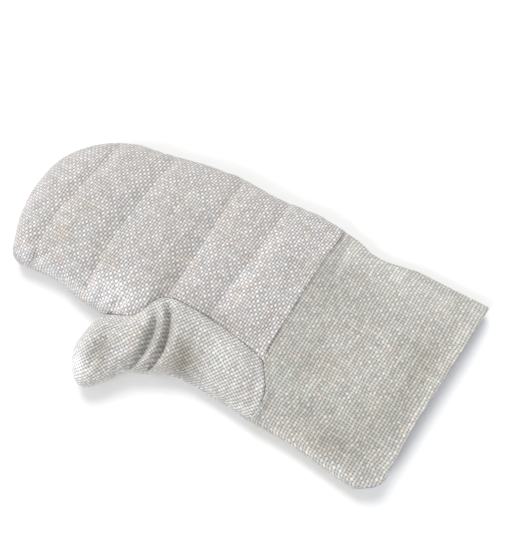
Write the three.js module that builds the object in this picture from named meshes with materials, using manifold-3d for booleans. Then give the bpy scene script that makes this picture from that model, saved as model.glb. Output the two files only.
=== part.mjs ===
// Heat resistant mitten for the left hand, lying palm up. Millimetres.
// +X runs from the cuff's opening to the fingertips, +Y towards the thumb, +Z up out of the palm.
import * as THREE from 'three';
import Module from 'manifold-3d';
import { mergeVertices } from 'three/addons/utils/BufferGeometryUtils.js';

// Sizes of the whole mitten, and the gap between two pieces
const FINGERTIP_X = 178;
const FORK_X = 63;
const SEAM_HEIGHT = 11;
const CLEARANCE = 0.3;

// Cloth thicknesses
const PALM_WALL = 6;
const BACK_WALL = 4.6;
const THUMB_WALL = 3.4;
const CUFF_WALL = 2.2;
const LINING_WALL = 1.2;
const LINING_OUT = CUFF_WALL + CLEARANCE;
const LINING_IN = LINING_OUT + LINING_WALL;
const HEM_TURN = 2;

// The palm's folded edge at the wrist stands up by this much, over this width
const FOLD_RISE = 1.6;
const FOLD_WIDTH = 6;

// Dip of the palm beside the seam of the thumb piece, and how far past the fork it goes
const INSET_DIP = 2.2;
const INSET_WIDTH = 4;
const INSET_REACH = 3;

// The rounded underside, and how far the thumb's underside climbs to the side seam
const BELLY_REACH = 4;
const BELLY_ROUNDNESS = 3.4;
const CLIMB = 10;

// Blocks that cut the pieces apart: their reach, and the stretch of the wrist line that they follow
const FAR = 200;
const BELOW = -20;
const ABOVE = 90;
const CUFF_REACH = 100;
const WRIST_LINE_FROM = -108;
const WRIST_LINE_TO = 64;
const WRIST_LINE_STEP = 4;
const CAVITY_LEAD = 25;

// Faceting
const EDGE_SPREAD = 0.8;
const STRAIGHT_COLUMNS = 11;
const MEETING_ROUNDS = 24;
const MEETING_PACE = 0.6;
const PALM_COLUMNS = 20;
const BACK_COLUMNS = 24;
const RING_COLUMNS = 36;
const THUMB_COLUMNS = 26;
const CAVITY_COLUMNS = 28;

// Edge of the mitten on the little finger's side, seen from above, from the opening to the fingertips
const LITTLE_EDGE = [
  { x: -178, y: -110.1 },
  { x: -165, y: -109.3 },
  { x: -150, y: -108.2 },
  { x: -135, y: -107.1 },
  { x: -119, y: -106.0 },
  { x: -112, y: -104.1 },
  { x: -104, y: -102.3 },
  { x: -96, y: -100.1 },
  { x: -88, y: -99.1 },
  { x: -80, y: -99.3 },
  { x: -73, y: -101.3 },
  { x: -65, y: -102.8 },
  { x: -52, y: -103.4 },
  { x: -33, y: -103.9 },
  { x: -17, y: -101.8 },
  { x: 0, y: -98.9 },
  { x: 16, y: -97.7 },
  { x: 30, y: -97.3 },
  { x: 41, y: -96.8 },
  { x: 57, y: -93.9 },
  { x: 74, y: -90.0 },
  { x: 90, y: -85.3 },
  { x: 107, y: -80.6 },
  { x: 124, y: -76.7 },
  { x: 132, y: -73.4 },
  { x: 141, y: -69.3 },
  { x: 149, y: -63.4 },
  { x: 157, y: -55.9 },
  { x: 165, y: -46.4 },
  { x: 170, y: -38.6 },
  { x: 174, y: -30.2 },
  { x: 176.5, y: -22.5 },
  { x: 178, y: -11.0 },
];

// Edge of the mitten on the thumb's side; the thumb covers it between x = -69 and x = 63
const THUMB_EDGE = [
  { x: -178, y: 62.4 },
  { x: -160, y: 62.9 },
  { x: -150, y: 62.9 },
  { x: -131, y: 62.1 },
  { x: -117, y: 61.6 },
  { x: -103, y: 61.4 },
  { x: -88, y: 61.9 },
  { x: -70, y: 62.9 },
  { x: -44, y: 62.6 },
  { x: -14, y: 63.6 },
  { x: 5, y: 62.6 },
  { x: 25, y: 60.2 },
  { x: 45, y: 57.2 },
  { x: 63, y: 55.2 },
  { x: 80, y: 55.9 },
  { x: 93, y: 56.0 },
  { x: 102, y: 54.5 },
  { x: 113, y: 52.5 },
  { x: 121, y: 53.1 },
  { x: 133, y: 55.0 },
  { x: 142, y: 57.0 },
  { x: 149, y: 57.9 },
  { x: 155, y: 55.8 },
  { x: 160, y: 48.6 },
  { x: 164, y: 40.6 },
  { x: 168, y: 32.6 },
  { x: 171, y: 24.8 },
  { x: 174, y: 14.8 },
  { x: 176.5, y: 3.0 },
  { x: 178, y: -11.0 },
];

// Seam between the palm and the thumb piece, from the wrist to the fork between thumb and hand
const INSET_SEAM = [
  { x: -55.4, y: 21.6 },
  { x: -48.6, y: 19.8 },
  { x: -37.4, y: 18.7 },
  { x: -22.4, y: 17.5 },
  { x: -7.3, y: 17.1 },
  { x: 8, y: 17.5 },
  { x: 21.7, y: 18.6 },
  { x: 28.6, y: 20.1 },
  { x: 33.1, y: 22.8 },
  { x: 36.7, y: 28.4 },
  { x: 38.9, y: 34.8 },
  { x: 41.2, y: 40.7 },
  { x: 44.5, y: 45.2 },
  { x: 50.7, y: 48.8 },
  { x: 57.1, y: 51.8 },
  { x: 63, y: 55.2 },
];

// Lines across the mitten: the opening's hem, the wrist seam, four quilted channels and the fingertips
const HEM = [
  { y: -110, x: -178.0 },
  { y: -68, x: -175.8 },
  { y: -28, x: -174.2 },
  { y: 9, x: -172.8 },
  { y: 32, x: -173.3 },
  { y: 47, x: -174.4 },
  { y: 52, x: -172.6 },
  { y: 57, x: -166.7 },
  { y: 63, x: -159.5 },
];
const WRIST_SEAM = [
  { y: -104, x: -52.0 },
  { y: -92, x: -52.8 },
  { y: -74, x: -52.3 },
  { y: -42, x: -52.3 },
  { y: -11, x: -52.8 },
  { y: 9, x: -53.4 },
  { y: 16, x: -54.0 },
  { y: 21.4, x: -56.0 },
  { y: 26, x: -59.4 },
  { y: 32, x: -64.3 },
  { y: 38.7, x: -68.8 },
  { y: 45.3, x: -71.0 },
  { y: 52.6, x: -71.7 },
  { y: 58.2, x: -71.0 },
  { y: 63, x: -69.0 },
];
const FOURTH_CHANNEL = [
  { y: -100, x: -4.4 },
  { y: -90, x: -7.4 },
  { y: -65, x: -8.2 },
  { y: -41, x: -7.6 },
  { y: -18, x: -6.8 },
  { y: 17, x: -6.3 },
];
const THIRD_CHANNEL = [
  { y: -97, x: 37.0 },
  { y: -91, x: 34.6 },
  { y: -85, x: 33.2 },
  { y: -65, x: 32.2 },
  { y: -41, x: 30.6 },
  { y: -18, x: 29.1 },
  { y: 6, x: 28.2 },
  { y: 22, x: 29.2 },
];
const SECOND_CHANNEL = [
  { y: -84, x: 94.6 },
  { y: -77, x: 90.6 },
  { y: -70, x: 88.8 },
  { y: -51, x: 89.6 },
  { y: -30, x: 90.5 },
  { y: -10, x: 90.6 },
  { y: 13, x: 90.0 },
  { y: 36, x: 87.8 },
  { y: 49, x: 87.4 },
  { y: 56, x: 90.4 },
];
const FIRST_CHANNEL = [
  { y: -70, x: 139.4 },
  { y: -60, x: 135.2 },
  { y: -52, x: 134.5 },
  { y: -28, x: 137.0 },
  { y: -4, x: 138.8 },
  { y: 20, x: 139.8 },
  { y: 35, x: 139.1 },
  { y: 47, x: 136.4 },
  { y: 57, x: 138.4 },
];
const FINGERTIPS = [
  { y: -110, x: FINGERTIP_X },
  { y: 110, x: FINGERTIP_X },
];
const CROSS_LINES = [
  HEM,
  WRIST_SEAM,
  FOURTH_CHANNEL,
  THIRD_CHANNEL,
  SECOND_CHANNEL,
  FIRST_CHANNEL,
  FINGERTIPS,
];
const WRIST = 1;
const TIP = 6;

// The wrist seam on the underside
const WRIST_UNDERSIDE = [
  { y: -104, x: -52.0 },
  { y: -40, x: -53.0 },
  { y: 10, x: -57.0 },
  { y: 45, x: -64.0 },
  { y: 63, x: -69.0 },
];
const UNDERSIDE_LINES = CROSS_LINES.with(WRIST, WRIST_UNDERSIDE);

// Quilted channels: the line, how deep its stitches pull the palm in and how wide the dip is
const CHANNELS = [
  { line: FOURTH_CHANNEL, depth: 3.0, width: 5 },
  { line: THIRD_CHANNEL, depth: 3.4, width: 5 },
  { line: SECOND_CHANNEL, depth: 3.2, width: 5 },
  { line: FIRST_CHANNEL, depth: 2.6, width: 4.5 },
];

// Soft dents of the palm: middle, depth and half-lengths along X and Y
const DENTS = [
  { x: 40, y: -1, depth: 1.6, alongX: 12, alongY: 18 },
  { x: 130, y: 46, depth: 2.4, alongX: 6, alongY: 10 },
  { x: 59, y: 42, depth: 1.6, alongX: 9, alongY: 16 },
  { x: 17, y: -86, depth: 1.4, alongX: 16, alongY: 10 },
];

// Heights along the mitten: the crown's top, how round the section is and how far the underside reaches down
const HEIGHTS = [
  { x: -180, crown: 22.0, roundness: 3.2, belly: 1 },
  { x: -150, crown: 20.6, roundness: 3.2, belly: 1 },
  { x: -110, crown: 20.2, roundness: 3.2, belly: 1 },
  { x: -80, crown: 21.4, roundness: 3.1, belly: 1 },
  { x: -60, crown: 23.6, roundness: 2.9, belly: 1 },
  { x: -51, crown: 25.6, roundness: 2.8, belly: 1 },
  { x: -40, crown: 29.6, roundness: 2.7, belly: 1 },
  { x: -20, crown: 33.0, roundness: 2.6, belly: 1 },
  { x: 20, crown: 35.2, roundness: 2.6, belly: 1 },
  { x: 60, crown: 36.0, roundness: 2.6, belly: 1 },
  { x: 100, crown: 35.2, roundness: 2.6, belly: 1 },
  { x: 135, crown: 33.2, roundness: 2.6, belly: 1 },
  { x: 155, crown: 29.6, roundness: 2.6, belly: 0.98 },
  { x: 166, crown: 25.4, roundness: 2.5, belly: 0.9 },
  { x: 172, crown: 21.4, roundness: 2.4, belly: 0.74 },
  { x: 176, crown: 16.4, roundness: 2.2, belly: 0.45 },
  { x: 178, crown: 11.0, roundness: 2.0, belly: 0 },
];

// Thumb sections from the wrist to the tip: the point on the palm's seam or fork side, the point on the outer
// edge, their heights, the top between them, the underside and how far the section bows towards the wrist;
// the low tops are the folds at the bend
const THUMB_SECTIONS = [
  { cx: -68, cy: 15, ox: -88, oy: 63, cz: 20, oz: 11, top: 20.5, under: 3, bow: 0 },
  { cx: -56, cy: 18.4, ox: -70, oy: 62.7, cz: 20.6, oz: 11, top: 22.6, under: 3, bow: 0 },
  { cx: -42, cy: 16.4, ox: -52, oy: 62.8, cz: 23.4, oz: 11, top: 27.2, under: 3, bow: 0 },
  { cx: -22, cy: 15.1, ox: -32, oy: 63.2, cz: 25.8, oz: 11, top: 30.6, under: 3, bow: 2 },
  { cx: -2, cy: 14.8, ox: -13, oy: 64.4, cz: 26.8, oz: 11.2, top: 32.2, under: 3, bow: 5 },
  { cx: 14, cy: 15.8, ox: 1, oy: 68.2, cz: 26.8, oz: 12, top: 33.2, under: 3, bow: 8 },
  { cx: 25, cy: 17.2, ox: 9, oy: 73, cz: 26.4, oz: 12.6, top: 33.0, under: 3, bow: 10 },
  { cx: 32.2, cy: 19.2, ox: 14.5, oy: 76.4, cz: 24.8, oz: 12.6, top: 27.0, under: 2, bow: 11 },
  { cx: 35.2, cy: 21.4, ox: 20.5, oy: 79.6, cz: 25.2, oz: 13.4, top: 32.8, under: 1.4, bow: 10.6 },
  { cx: 37.6, cy: 25, ox: 26.5, oy: 82.8, cz: 24.6, oz: 13.2, top: 29.2, under: 1, bow: 9.8 },
  { cx: 41.6, cy: 34, ox: 30.5, oy: 85.6, cz: 23.4, oz: 14, top: 33.4, under: 0, bow: 8 },
  { cx: 48.8, cy: 44.6, ox: 32.6, oy: 89, cz: 19.6, oz: 14, top: 33.6, under: 0, bow: 5 },
  { cx: 65, cy: 54.6, ox: 34.6, oy: 93.6, cz: 14, oz: 14, top: 32.2, under: 0, bow: 2 },
  { cx: 70, cy: 71, ox: 37.2, oy: 98.4, cz: 14, oz: 14, top: 30.4, under: 0, bow: 0 },
  { cx: 70.7, cy: 84, ox: 40.4, oy: 103, cz: 14, oz: 14, top: 28.4, under: 0, bow: 0 },
  { cx: 68.8, cy: 92, ox: 43.6, oy: 106.6, cz: 14, oz: 14, top: 26.0, under: 1, bow: 0 },
  { cx: 65.4, cy: 98.2, ox: 47, oy: 109.2, cz: 14, oz: 14, top: 23.2, under: 3, bow: 0 },
  { cx: 61.4, cy: 103.4, ox: 51, oy: 110.1, cz: 14, oz: 14, top: 19.4, under: 7, bow: 0 },
  { cx: 57, cy: 107.6, ox: 57, oy: 107.6, cz: 14, oz: 14, top: 14.0, under: 14, bow: 0 },
];
const THUMB_STEPS = 2;
const THUMB_ROUNDNESS = 2.3;

const MATERIALS = {
  hand: new THREE.MeshStandardMaterial({ name: 'hand_cloth', color: 0xcdc8bf, roughness: 0.95 }),
  cuff: new THREE.MeshStandardMaterial({ name: 'cuff_cloth', color: 0xbebab0, roughness: 0.95 }),
  lining: new THREE.MeshStandardMaterial({ name: 'lining_cloth', color: 0x9fb4cf, roughness: 0.9 }),
};

const lerp = (a, b, t) => a + (b - a) * t;
const clamp = (value, low, high) => Math.min(Math.max(value, low), high);

function smoothstep(low, high, value) {
  const t = clamp((value - low) / (high - low), 0, 1);
  return t * t * (3 - 2 * t);
}

// Slope of a table's column at one of its rows, none where the column turns
function slopeAt(table, from, to, i) {
  const before = table[Math.max(i - 1, 0)];
  const here = table[i];
  const after = table[Math.min(i + 1, table.length - 1)];
  const left = here === before ? 0 : (here[to] - before[to]) / (here[from] - before[from]);
  const right = after === here ? 0 : (after[to] - here[to]) / (after[from] - here[from]);
  if (here === before || here === after) return left + right;
  if (left * right <= 0) return 0;
  return (2 * left * right) / (left + right);
}

// Smooth value of a table's column between its rows
function readTable(table, from, to, at) {
  const value = clamp(at, table[0][from], table[table.length - 1][from]);
  let i = 0;
  while (i < table.length - 2 && value > table[i + 1][from]) i += 1;
  const a = table[i];
  const b = table[i + 1];
  const span = b[from] - a[from];
  const t = (value - a[from]) / span;
  const rise = t * t * (3 - 2 * t);
  const leaving = slopeAt(table, from, to, i) * span * t * (1 - t) * (1 - t);
  const arriving = slopeAt(table, from, to, i + 1) * span * t * t * (t - 1);
  return lerp(a[to], b[to], rise) + leaving + arriving;
}

const littleEdge = (x) => readTable(LITTLE_EDGE, 'x', 'y', x);
const thumbEdge = (x) => readTable(THUMB_EDGE, 'x', 'y', x);
const insetSeam = (x) => readTable(INSET_SEAM, 'x', 'y', x);
const lineX = (line, y) => readTable(line, 'y', 'x', y);

// X of the cross line numbered by station, with lines in between for the numbers in between
function stationX(station, y, lines = CROSS_LINES) {
  const i = clamp(Math.floor(station), 0, lines.length - 2);
  return lerp(lineX(lines[i], y), lineX(lines[i + 1], y), station - i);
}

// Where a cross line meets an edge of the mitten
function meetEdge(station, edge, shift) {
  let y = edge(stationX(station, 0) + shift);
  for (let i = 0; i < MEETING_ROUNDS; i += 1) {
    y = lerp(y, edge(stationX(station, y) + shift), MEETING_PACE);
  }
  return y;
}

const superRound = (v, power) => Math.max(0, 1 - Math.abs(v) ** power) ** (1 / power);

// Place across the mitten, -1 at the little finger's side and 1 at the thumb's, inside an inset outline
function across(x, y, inset) {
  const near = littleEdge(x) + inset;
  const far = thumbEdge(x) - inset;
  return clamp((y - (near + far) / 2) / Math.max((far - near) / 2, 0.01), -1, 1);
}

function channelDip(x, y) {
  let dip = 0;
  for (const channel of CHANNELS) {
    const away = (x - lineX(channel.line, y)) / channel.width;
    dip += channel.depth / (1 + away * away);
  }
  return dip;
}

function dentDip(x, y) {
  let dip = 0;
  for (const dent of DENTS) {
    const dx = (x - dent.x) / dent.alongX;
    const dy = (y - dent.y) / dent.alongY;
    dip += dent.depth * Math.exp(-dx * dx - dy * dy);
  }
  return dip;
}

function wristRise(x, y) {
  const away = x - lineX(WRIST_SEAM, y);
  return FOLD_RISE * (1 - smoothstep(FOLD_WIDTH * 0.7, FOLD_WIDTH * 1.6, away));
}

function insetDip(x, y) {
  if (x > FORK_X + INSET_REACH) return 0;
  const away = (insetSeam(x) - y) / INSET_WIDTH;
  return away < 0 ? INSET_DIP : INSET_DIP * Math.exp(-away * away);
}

// Height of the top, and of the underside, of the body or of one of its inner surfaces
function topHeight(x, y, inset, detailed) {
  const crown = readTable(HEIGHTS, 'x', 'crown', x) - inset - SEAM_HEIGHT;
  const power = readTable(HEIGHTS, 'x', 'roundness', x);
  const bulge = superRound(across(x, y, inset), power);
  const dips = detailed ? channelDip(x, y) + dentDip(x, y) + insetDip(x, y) - wristRise(x, y) : 0;
  return SEAM_HEIGHT + Math.max(0, (Math.max(crown, 0) - dips) * bulge);
}

function underHeight(x, y, inset) {
  const belly = readTable(HEIGHTS, 'x', 'belly', x);
  const depth = (SEAM_HEIGHT + BELLY_REACH - inset) * belly;
  const bulge = superRound(across(x, y, inset), BELLY_ROUNDNESS);
  return clamp(SEAM_HEIGHT - depth * bulge, Math.min(inset, SEAM_HEIGHT), SEAM_HEIGHT);
}

// Spacing of columns across, closer together at the rounded edges, and the step at a share of the width
function spread(t) {
  const c = Math.cos(Math.PI * t);
  return (1 - Math.sign(c) * Math.abs(c) ** EDGE_SPREAD) / 2;
}

function stepAt(share) {
  const c = clamp(1 - 2 * share, -1, 1);
  return Math.acos(Math.sign(c) * Math.abs(c) ** (1 / EDGE_SPREAD)) / Math.PI;
}

// Closed body from two grids of points, the outer and the inner face of one cloth panel
function panel(outer, inner, ringed) {
  const rows = outer.length;
  const columns = outer[0].length;
  const positions = [];
  for (const grid of [outer, inner]) {
    for (const row of grid) {
      for (const point of row) positions.push(point[0], point[1], point[2]);
    }
  }
  const at = (layer, i, j) => (layer * rows + i) * columns + (ringed ? j % columns : j);
  const index = [];
  const quad = (a, b, c, d) => index.push(a, b, c, a, c, d);
  const lastColumn = ringed ? columns : columns - 1;
  for (let i = 0; i < rows - 1; i += 1) {
    for (let j = 0; j < lastColumn; j += 1) {
      quad(at(0, i, j), at(0, i + 1, j), at(0, i + 1, j + 1), at(0, i, j + 1));
      quad(at(1, i, j), at(1, i, j + 1), at(1, i + 1, j + 1), at(1, i + 1, j));
    }
  }
  for (let j = 0; j < lastColumn; j += 1) {
    quad(at(0, 0, j), at(0, 0, j + 1), at(1, 0, j + 1), at(1, 0, j));
    quad(at(0, rows - 1, j + 1), at(0, rows - 1, j), at(1, rows - 1, j), at(1, rows - 1, j + 1));
  }
  if (!ringed) {
    for (let i = 0; i < rows - 1; i += 1) {
      quad(at(0, i + 1, 0), at(0, i, 0), at(1, i, 0), at(1, i + 1, 0));
      const last = columns - 1;
      quad(at(0, i, last), at(0, i + 1, last), at(1, i + 1, last), at(1, i, last));
    }
  }
  return closedGeometry(positions, index);
}

// Geometry without doubled points or empty triangles, turned so that its faces look outwards
function closedGeometry(positions, index, tolerance = 1e-4) {
  const raw = new THREE.BufferGeometry();
  raw.setAttribute('position', new THREE.Float32BufferAttribute(positions, 3));
  raw.setIndex(index);
  const merged = mergeVertices(raw, tolerance);
  const kept = [];
  const corners = merged.getIndex().array;
  for (let i = 0; i < corners.length; i += 3) {
    const [a, b, c] = [corners[i], corners[i + 1], corners[i + 2]];
    if (a !== b && b !== c && c !== a) kept.push(a, b, c);
  }
  const point = merged.getAttribute('position');
  let volume = 0;
  const [p, q, r] = [new THREE.Vector3(), new THREE.Vector3(), new THREE.Vector3()];
  for (let i = 0; i < kept.length; i += 3) {
    p.fromBufferAttribute(point, kept[i]);
    q.fromBufferAttribute(point, kept[i + 1]);
    r.fromBufferAttribute(point, kept[i + 2]);
    volume += p.dot(q.cross(r));
  }
  if (volume < 0) {
    for (let i = 0; i < kept.length; i += 3) [kept[i], kept[i + 1]] = [kept[i + 1], kept[i]];
  }
  merged.setIndex(kept);
  return merged;
}

// Stations of the palm's rows: close together at the channels, the wrist seam and the fingertips
const PALM_ROWS = [
  0.97, 1, 1.06, 1.12, 1.2, 1.4, 1.62, 1.8, 1.9, 2, 2.12, 2.26, 2.5, 2.72, 2.86, 2.95, 3, 3.04, 3.08,
  3.12, 3.16, 3.23, 3.31, 3.39, 3.46, 3.6, 3.78, 3.91, 4, 4.09, 4.22, 4.42, 4.62, 4.8, 4.91, 5,
  5.12, 5.28, 5.46, 5.62, 5.76, 5.86, 5.93, 5.975, 6,
];
const BACK_ROWS = [0.97, 1.3, 1.7, 2.1, 2.6, 3.1, 3.6, 4.1, 4.5, 5, 5.25, 5.5, 5.68, 5.8, 5.9, 5.96, 6];
const CUFF_ROWS = [0, 0.03, 0.15, 0.3, 0.42, 0.55, 0.66, 0.76, 0.85, 0.92, 0.97, 1.02];
const CAVITY_ROWS = [1, 1.5, 2, 2.5, 3, 3.5, 4, 4.5, 5, 5.4, 5.7, 5.88, 6];

// A surface's own cross line: it stops short of the fingertips by the thickness of the cloth
function layerX(station, y, inset, lines) {
  return stationX(station, y, lines) - inset * smoothstep(TIP - 1, TIP, station);
}

// Columns of the palm run straight, and only the last ones are drawn to its seam with the thumb piece
function palmStep(column, last) {
  const straight = Math.min(column, STRAIGHT_COLUMNS) / (PALM_COLUMNS - 1);
  const beyond = (column - STRAIGHT_COLUMNS) / (PALM_COLUMNS - 1 - STRAIGHT_COLUMNS);
  return beyond <= 0 ? straight : lerp(straight, last, beyond);
}

function palmGrid(inset, detailed) {
  const seam = (x) => (x < FORK_X ? insetSeam(x) - CLEARANCE / 2 : thumbEdge(x) - inset);
  return PALM_ROWS.map((station) => {
    const near = meetEdge(station, (x) => littleEdge(x) + inset, 0);
    const edge = meetEdge(station, (x) => thumbEdge(x) - inset, 0);
    const last = stepAt((meetEdge(station, seam, 0) - near) / Math.max(edge - near, 0.01));
    const row = [];
    for (let j = 0; j < PALM_COLUMNS; j += 1) {
      const y = lerp(near, Math.max(edge, near), spread(palmStep(j, last)));
      const x = stationX(station, y);
      row.push([layerX(station, y, inset), y, topHeight(x, y, inset, detailed)]);
    }
    return row;
  });
}

function backGrid(inset) {
  return BACK_ROWS.map((station) => {
    const near = meetEdge(station, (x) => littleEdge(x) + inset, 0);
    const far = Math.max(near, meetEdge(station, (x) => thumbEdge(x) - inset, 0));
    const row = [];
    for (let j = 0; j < BACK_COLUMNS; j += 1) {
      const y = lerp(near, far, spread(j / (BACK_COLUMNS - 1)));
      const x = stationX(station, y, UNDERSIDE_LINES);
      const z = Math.min(underHeight(x, y, inset), SEAM_HEIGHT - CLEARANCE);
      row.push([layerX(station, y, inset, UNDERSIDE_LINES), y, z]);
    }
    return row;
  });
}

// Ring of the cuff or its lining, over the top towards the thumb and back underneath
function cuffGrid(inset, mouthInset) {
  return CUFF_ROWS.map((station) => {
    const x0 = lerp(mouthInset, 0, station);
    const near = meetEdge(station, (x) => littleEdge(x) + inset, x0);
    const far = meetEdge(station, (x) => thumbEdge(x) - inset, x0);
    const row = [];
    const half = RING_COLUMNS / 2;
    for (let j = 0; j < RING_COLUMNS; j += 1) {
      const top = j < half;
      const y = lerp(near, far, spread(top ? j / half : (RING_COLUMNS - j) / half));
      const x = stationX(station, y, top ? CROSS_LINES : UNDERSIDE_LINES) + x0;
      row.push([x, y, top ? topHeight(x, y, inset, false) : underHeight(x, y, inset)]);
    }
    return row;
  });
}

function thumbGrid(inset) {
  const rows = [];
  const count = (THUMB_SECTIONS.length - 1) * THUMB_STEPS;
  const numbered = THUMB_SECTIONS.map((section, i) => ({ ...section, i }));
  for (let k = 0; k <= count; k += 1) {
    const read = (column) => readTable(numbered, 'i', column, k / THUMB_STEPS);
    const seam = new THREE.Vector2(read('cx'), read('cy'));
    const outer = new THREE.Vector2(read('ox'), read('oy'));
    const half = seam.distanceTo(outer) / 2;
    const width = Math.max(half - inset, 0) / Math.max(half, 0.01);
    const row = [];
    for (let j = 0; j < THUMB_COLUMNS; j += 1) {
      const angle = (2 * Math.PI * j) / THUMB_COLUMNS;
      const c = Math.cos(angle);
      const s = Math.sin(angle);
      const v = Math.sign(c) * Math.abs(c) ** (2 / THUMB_ROUNDNESS);
      const w = Math.abs(s) ** (2 / THUMB_ROUNDNESS);
      const at = (1 - v * width) / 2;
      const x = lerp(seam.x, outer.x, at) - 4 * read('bow') * at * (1 - at);
      const y = lerp(seam.y, outer.y, at);
      const edge = lerp(read('cz'), read('oz'), at);
      const middle = (read('cz') + read('oz')) / 2;
      const rise = Math.max(read('top') - middle - inset, 0);
      const fall = Math.max(middle - read('under') - inset, 0);
      row.push([x, y, s >= 0 ? edge + rise * w : thumbUnder(x, y, edge - fall * w, inset)]);
    }
    rows.push(row);
  }
  return rows;
}

// The thumb's underside climbs to the side seam of the hand
function thumbUnder(x, y, z, inset) {
  const away = Math.abs(y - thumbEdge(x)) / CLIMB;
  return Math.max(z, inset, SEAM_HEIGHT - CLEARANCE + inset - away * SEAM_HEIGHT);
}

// Closed body from a grid of rings, with flat ends
function rings(grid) {
  const columns = grid[0].length;
  const positions = grid.flat(2);
  const index = [];
  for (let i = 0; i < grid.length - 1; i += 1) {
    for (let j = 0; j < columns; j += 1) {
      const [a, b] = [i * columns + j, i * columns + ((j + 1) % columns)];
      index.push(a, a + columns, b + columns, a, b + columns, b);
    }
  }
  const last = (grid.length - 1) * columns;
  for (let j = 1; j < columns - 1; j += 1) {
    index.push(0, j, j + 1);
    index.push(last, last + j + 1, last + j);
  }
  return closedGeometry(positions, index);
}

// The space inside the hand, a little larger where the thumb piece opens into it
function handCavity() {
  const grid = CAVITY_ROWS.map((station) => {
    const near = meetEdge(station, (x) => littleEdge(x) + PALM_WALL, 0);
    const far = Math.max(near + 0.5, meetEdge(station, (x) => thumbEdge(x) - PALM_WALL, 0));
    const row = [];
    const half = CAVITY_COLUMNS / 2;
    for (let j = 0; j < CAVITY_COLUMNS; j += 1) {
      const top = j < half;
      const y = lerp(near, far, spread(top ? j / half : (CAVITY_COLUMNS - j) / half));
      const x = stationX(station, y);
      const z = top ? topHeight(x, y, PALM_WALL, false) : underHeight(x, y, BACK_WALL);
      row.push([layerX(station, y, PALM_WALL) - (station === WRIST ? CAVITY_LEAD : 0), y, z]);
    }
    return row;
  });
  return rings(grid);
}

function prism(outline, low, high) {
  const shape = new THREE.Shape(outline.map(([x, y]) => new THREE.Vector2(x, y)));
  const solid = new THREE.ExtrudeGeometry(shape, { depth: high - low, bevelEnabled: false });
  return solid.translate(0, 0, low);
}

const wasm = await Module();
wasm.setup();

function toManifold(geometry) {
  const bare = geometry.clone();
  bare.deleteAttribute('normal');
  bare.deleteAttribute('uv');
  const merged = mergeVertices(bare, 1e-4);
  const mesh = new wasm.Mesh({
    numProp: 3,
    vertProperties: Float32Array.from(merged.getAttribute('position').array),
    triVerts: Uint32Array.from(merged.getIndex().array),
  });
  return new wasm.Manifold(mesh);
}

function toGeometry(solid) {
  const mesh = solid.getMesh();
  return closedGeometry(mesh.vertProperties, Array.from(mesh.triVerts), 2e-3);
}

// Line seen from above, moved towards its left-hand side
function drawnOut(line, distance) {
  return line.map(([x, y], i) => {
    const before = line[Math.max(i - 1, 0)];
    const after = line[Math.min(i + 1, line.length - 1)];
    const along = new THREE.Vector2(after[0] - before[0], after[1] - before[1]).normalize();
    return [x - along.y * distance, y + along.x * distance];
  });
}

// Everything beyond a wrist line, on the cuff's side or on the hand's side of it
function wristLine(line, shift) {
  const points = [];
  for (let y = WRIST_LINE_FROM; y <= WRIST_LINE_TO; y += WRIST_LINE_STEP) {
    points.push([lineX(line, y) + shift, y]);
  }
  return [[points[0][0], -FAR], ...points, [points[points.length - 1][0], FAR]];
}

function cuffSide(line, low, high) {
  return prism([[-FAR, -FAR], ...wristLine(line, CLEARANCE / 2), [-FAR, FAR]], low, high);
}

function handSide(line, low, high) {
  return prism([...wristLine(line, -CLEARANCE / 2), [FAR, FAR], [FAR, -FAR]].reverse(), low, high);
}

// Everything on the palm's side of the thumb seam, beyond the wrist seam and inside the back panel
function thumbSurroundings() {
  const edge = palmGrid(0, true).map((row) => row[row.length - 1]);
  const start = [edge[0][0] - 1, edge[0][1] + CLEARANCE];
  const palm = [[start[0], -FAR], start, ...drawnOut(edge, CLEARANCE), [FAR, -FAR]];
  const side = backGrid(0).map((row) => row[row.length - 1]);
  const back = [
    [-CUFF_REACH, -FAR],
    [-CUFF_REACH, side[0][1] + CLEARANCE],
    ...drawnOut(side, CLEARANCE),
    [FAR, -FAR],
  ];
  return [
    prism(palm.reverse(), BELOW, ABOVE),
    cuffSide(WRIST_SEAM, BELOW, ABOVE),
    prism(back.reverse(), BELOW, SEAM_HEIGHT + CLEARANCE / 2),
  ];
}

function thumbSolid() {
  let solid = toManifold(rings(thumbGrid(0))).subtract(toManifold(rings(thumbGrid(THUMB_WALL))));
  for (const cut of [handCavity(), ...thumbSurroundings()]) solid = solid.subtract(toManifold(cut));
  const bodies = solid.decompose().sort((a, b) => b.volume() - a.volume());
  return toGeometry(bodies[0]);
}

// A panel cut along the wrist seam, higher and lower than the side seam
function cutAtWrist(geometry, cuts) {
  const whole = toManifold(geometry);
  return toGeometry(cuts.reduce((solid, cut) => solid.subtract(toManifold(cut)), whole));
}

function sleeve(outside, inside, mouthInset) {
  const grids = [outside, inside].map((inset) => cuffGrid(inset, mouthInset));
  return cutAtWrist(panel(...grids, true), [
    handSide(WRIST_SEAM, SEAM_HEIGHT, ABOVE),
    handSide(WRIST_UNDERSIDE, BELOW, SEAM_HEIGHT),
  ]);
}

const palm = panel(palmGrid(0, true), palmGrid(PALM_WALL, false), false);
const back = panel(backGrid(0), backGrid(BACK_WALL), false);
const pieces = [
  ['palm', cutAtWrist(palm, [cuffSide(WRIST_SEAM, BELOW, ABOVE)]), MATERIALS.hand],
  ['hand_back', cutAtWrist(back, [cuffSide(WRIST_UNDERSIDE, BELOW, ABOVE)]), MATERIALS.hand],
  ['thumb', thumbSolid(), MATERIALS.hand],
  ['cuff', sleeve(0, CUFF_WALL, 0), MATERIALS.cuff],
  ['cuff_lining', sleeve(LINING_OUT, LINING_IN, HEM_TURN), MATERIALS.lining],
];

const mitten = new THREE.Group();
mitten.name = 'heat_resistant_mitten';
for (const [name, geometry, material] of pieces) {
  const mesh = new THREE.Mesh(geometry, material);
  mesh.name = name;
  mitten.add(mesh);
}

export default mitten;
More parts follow.
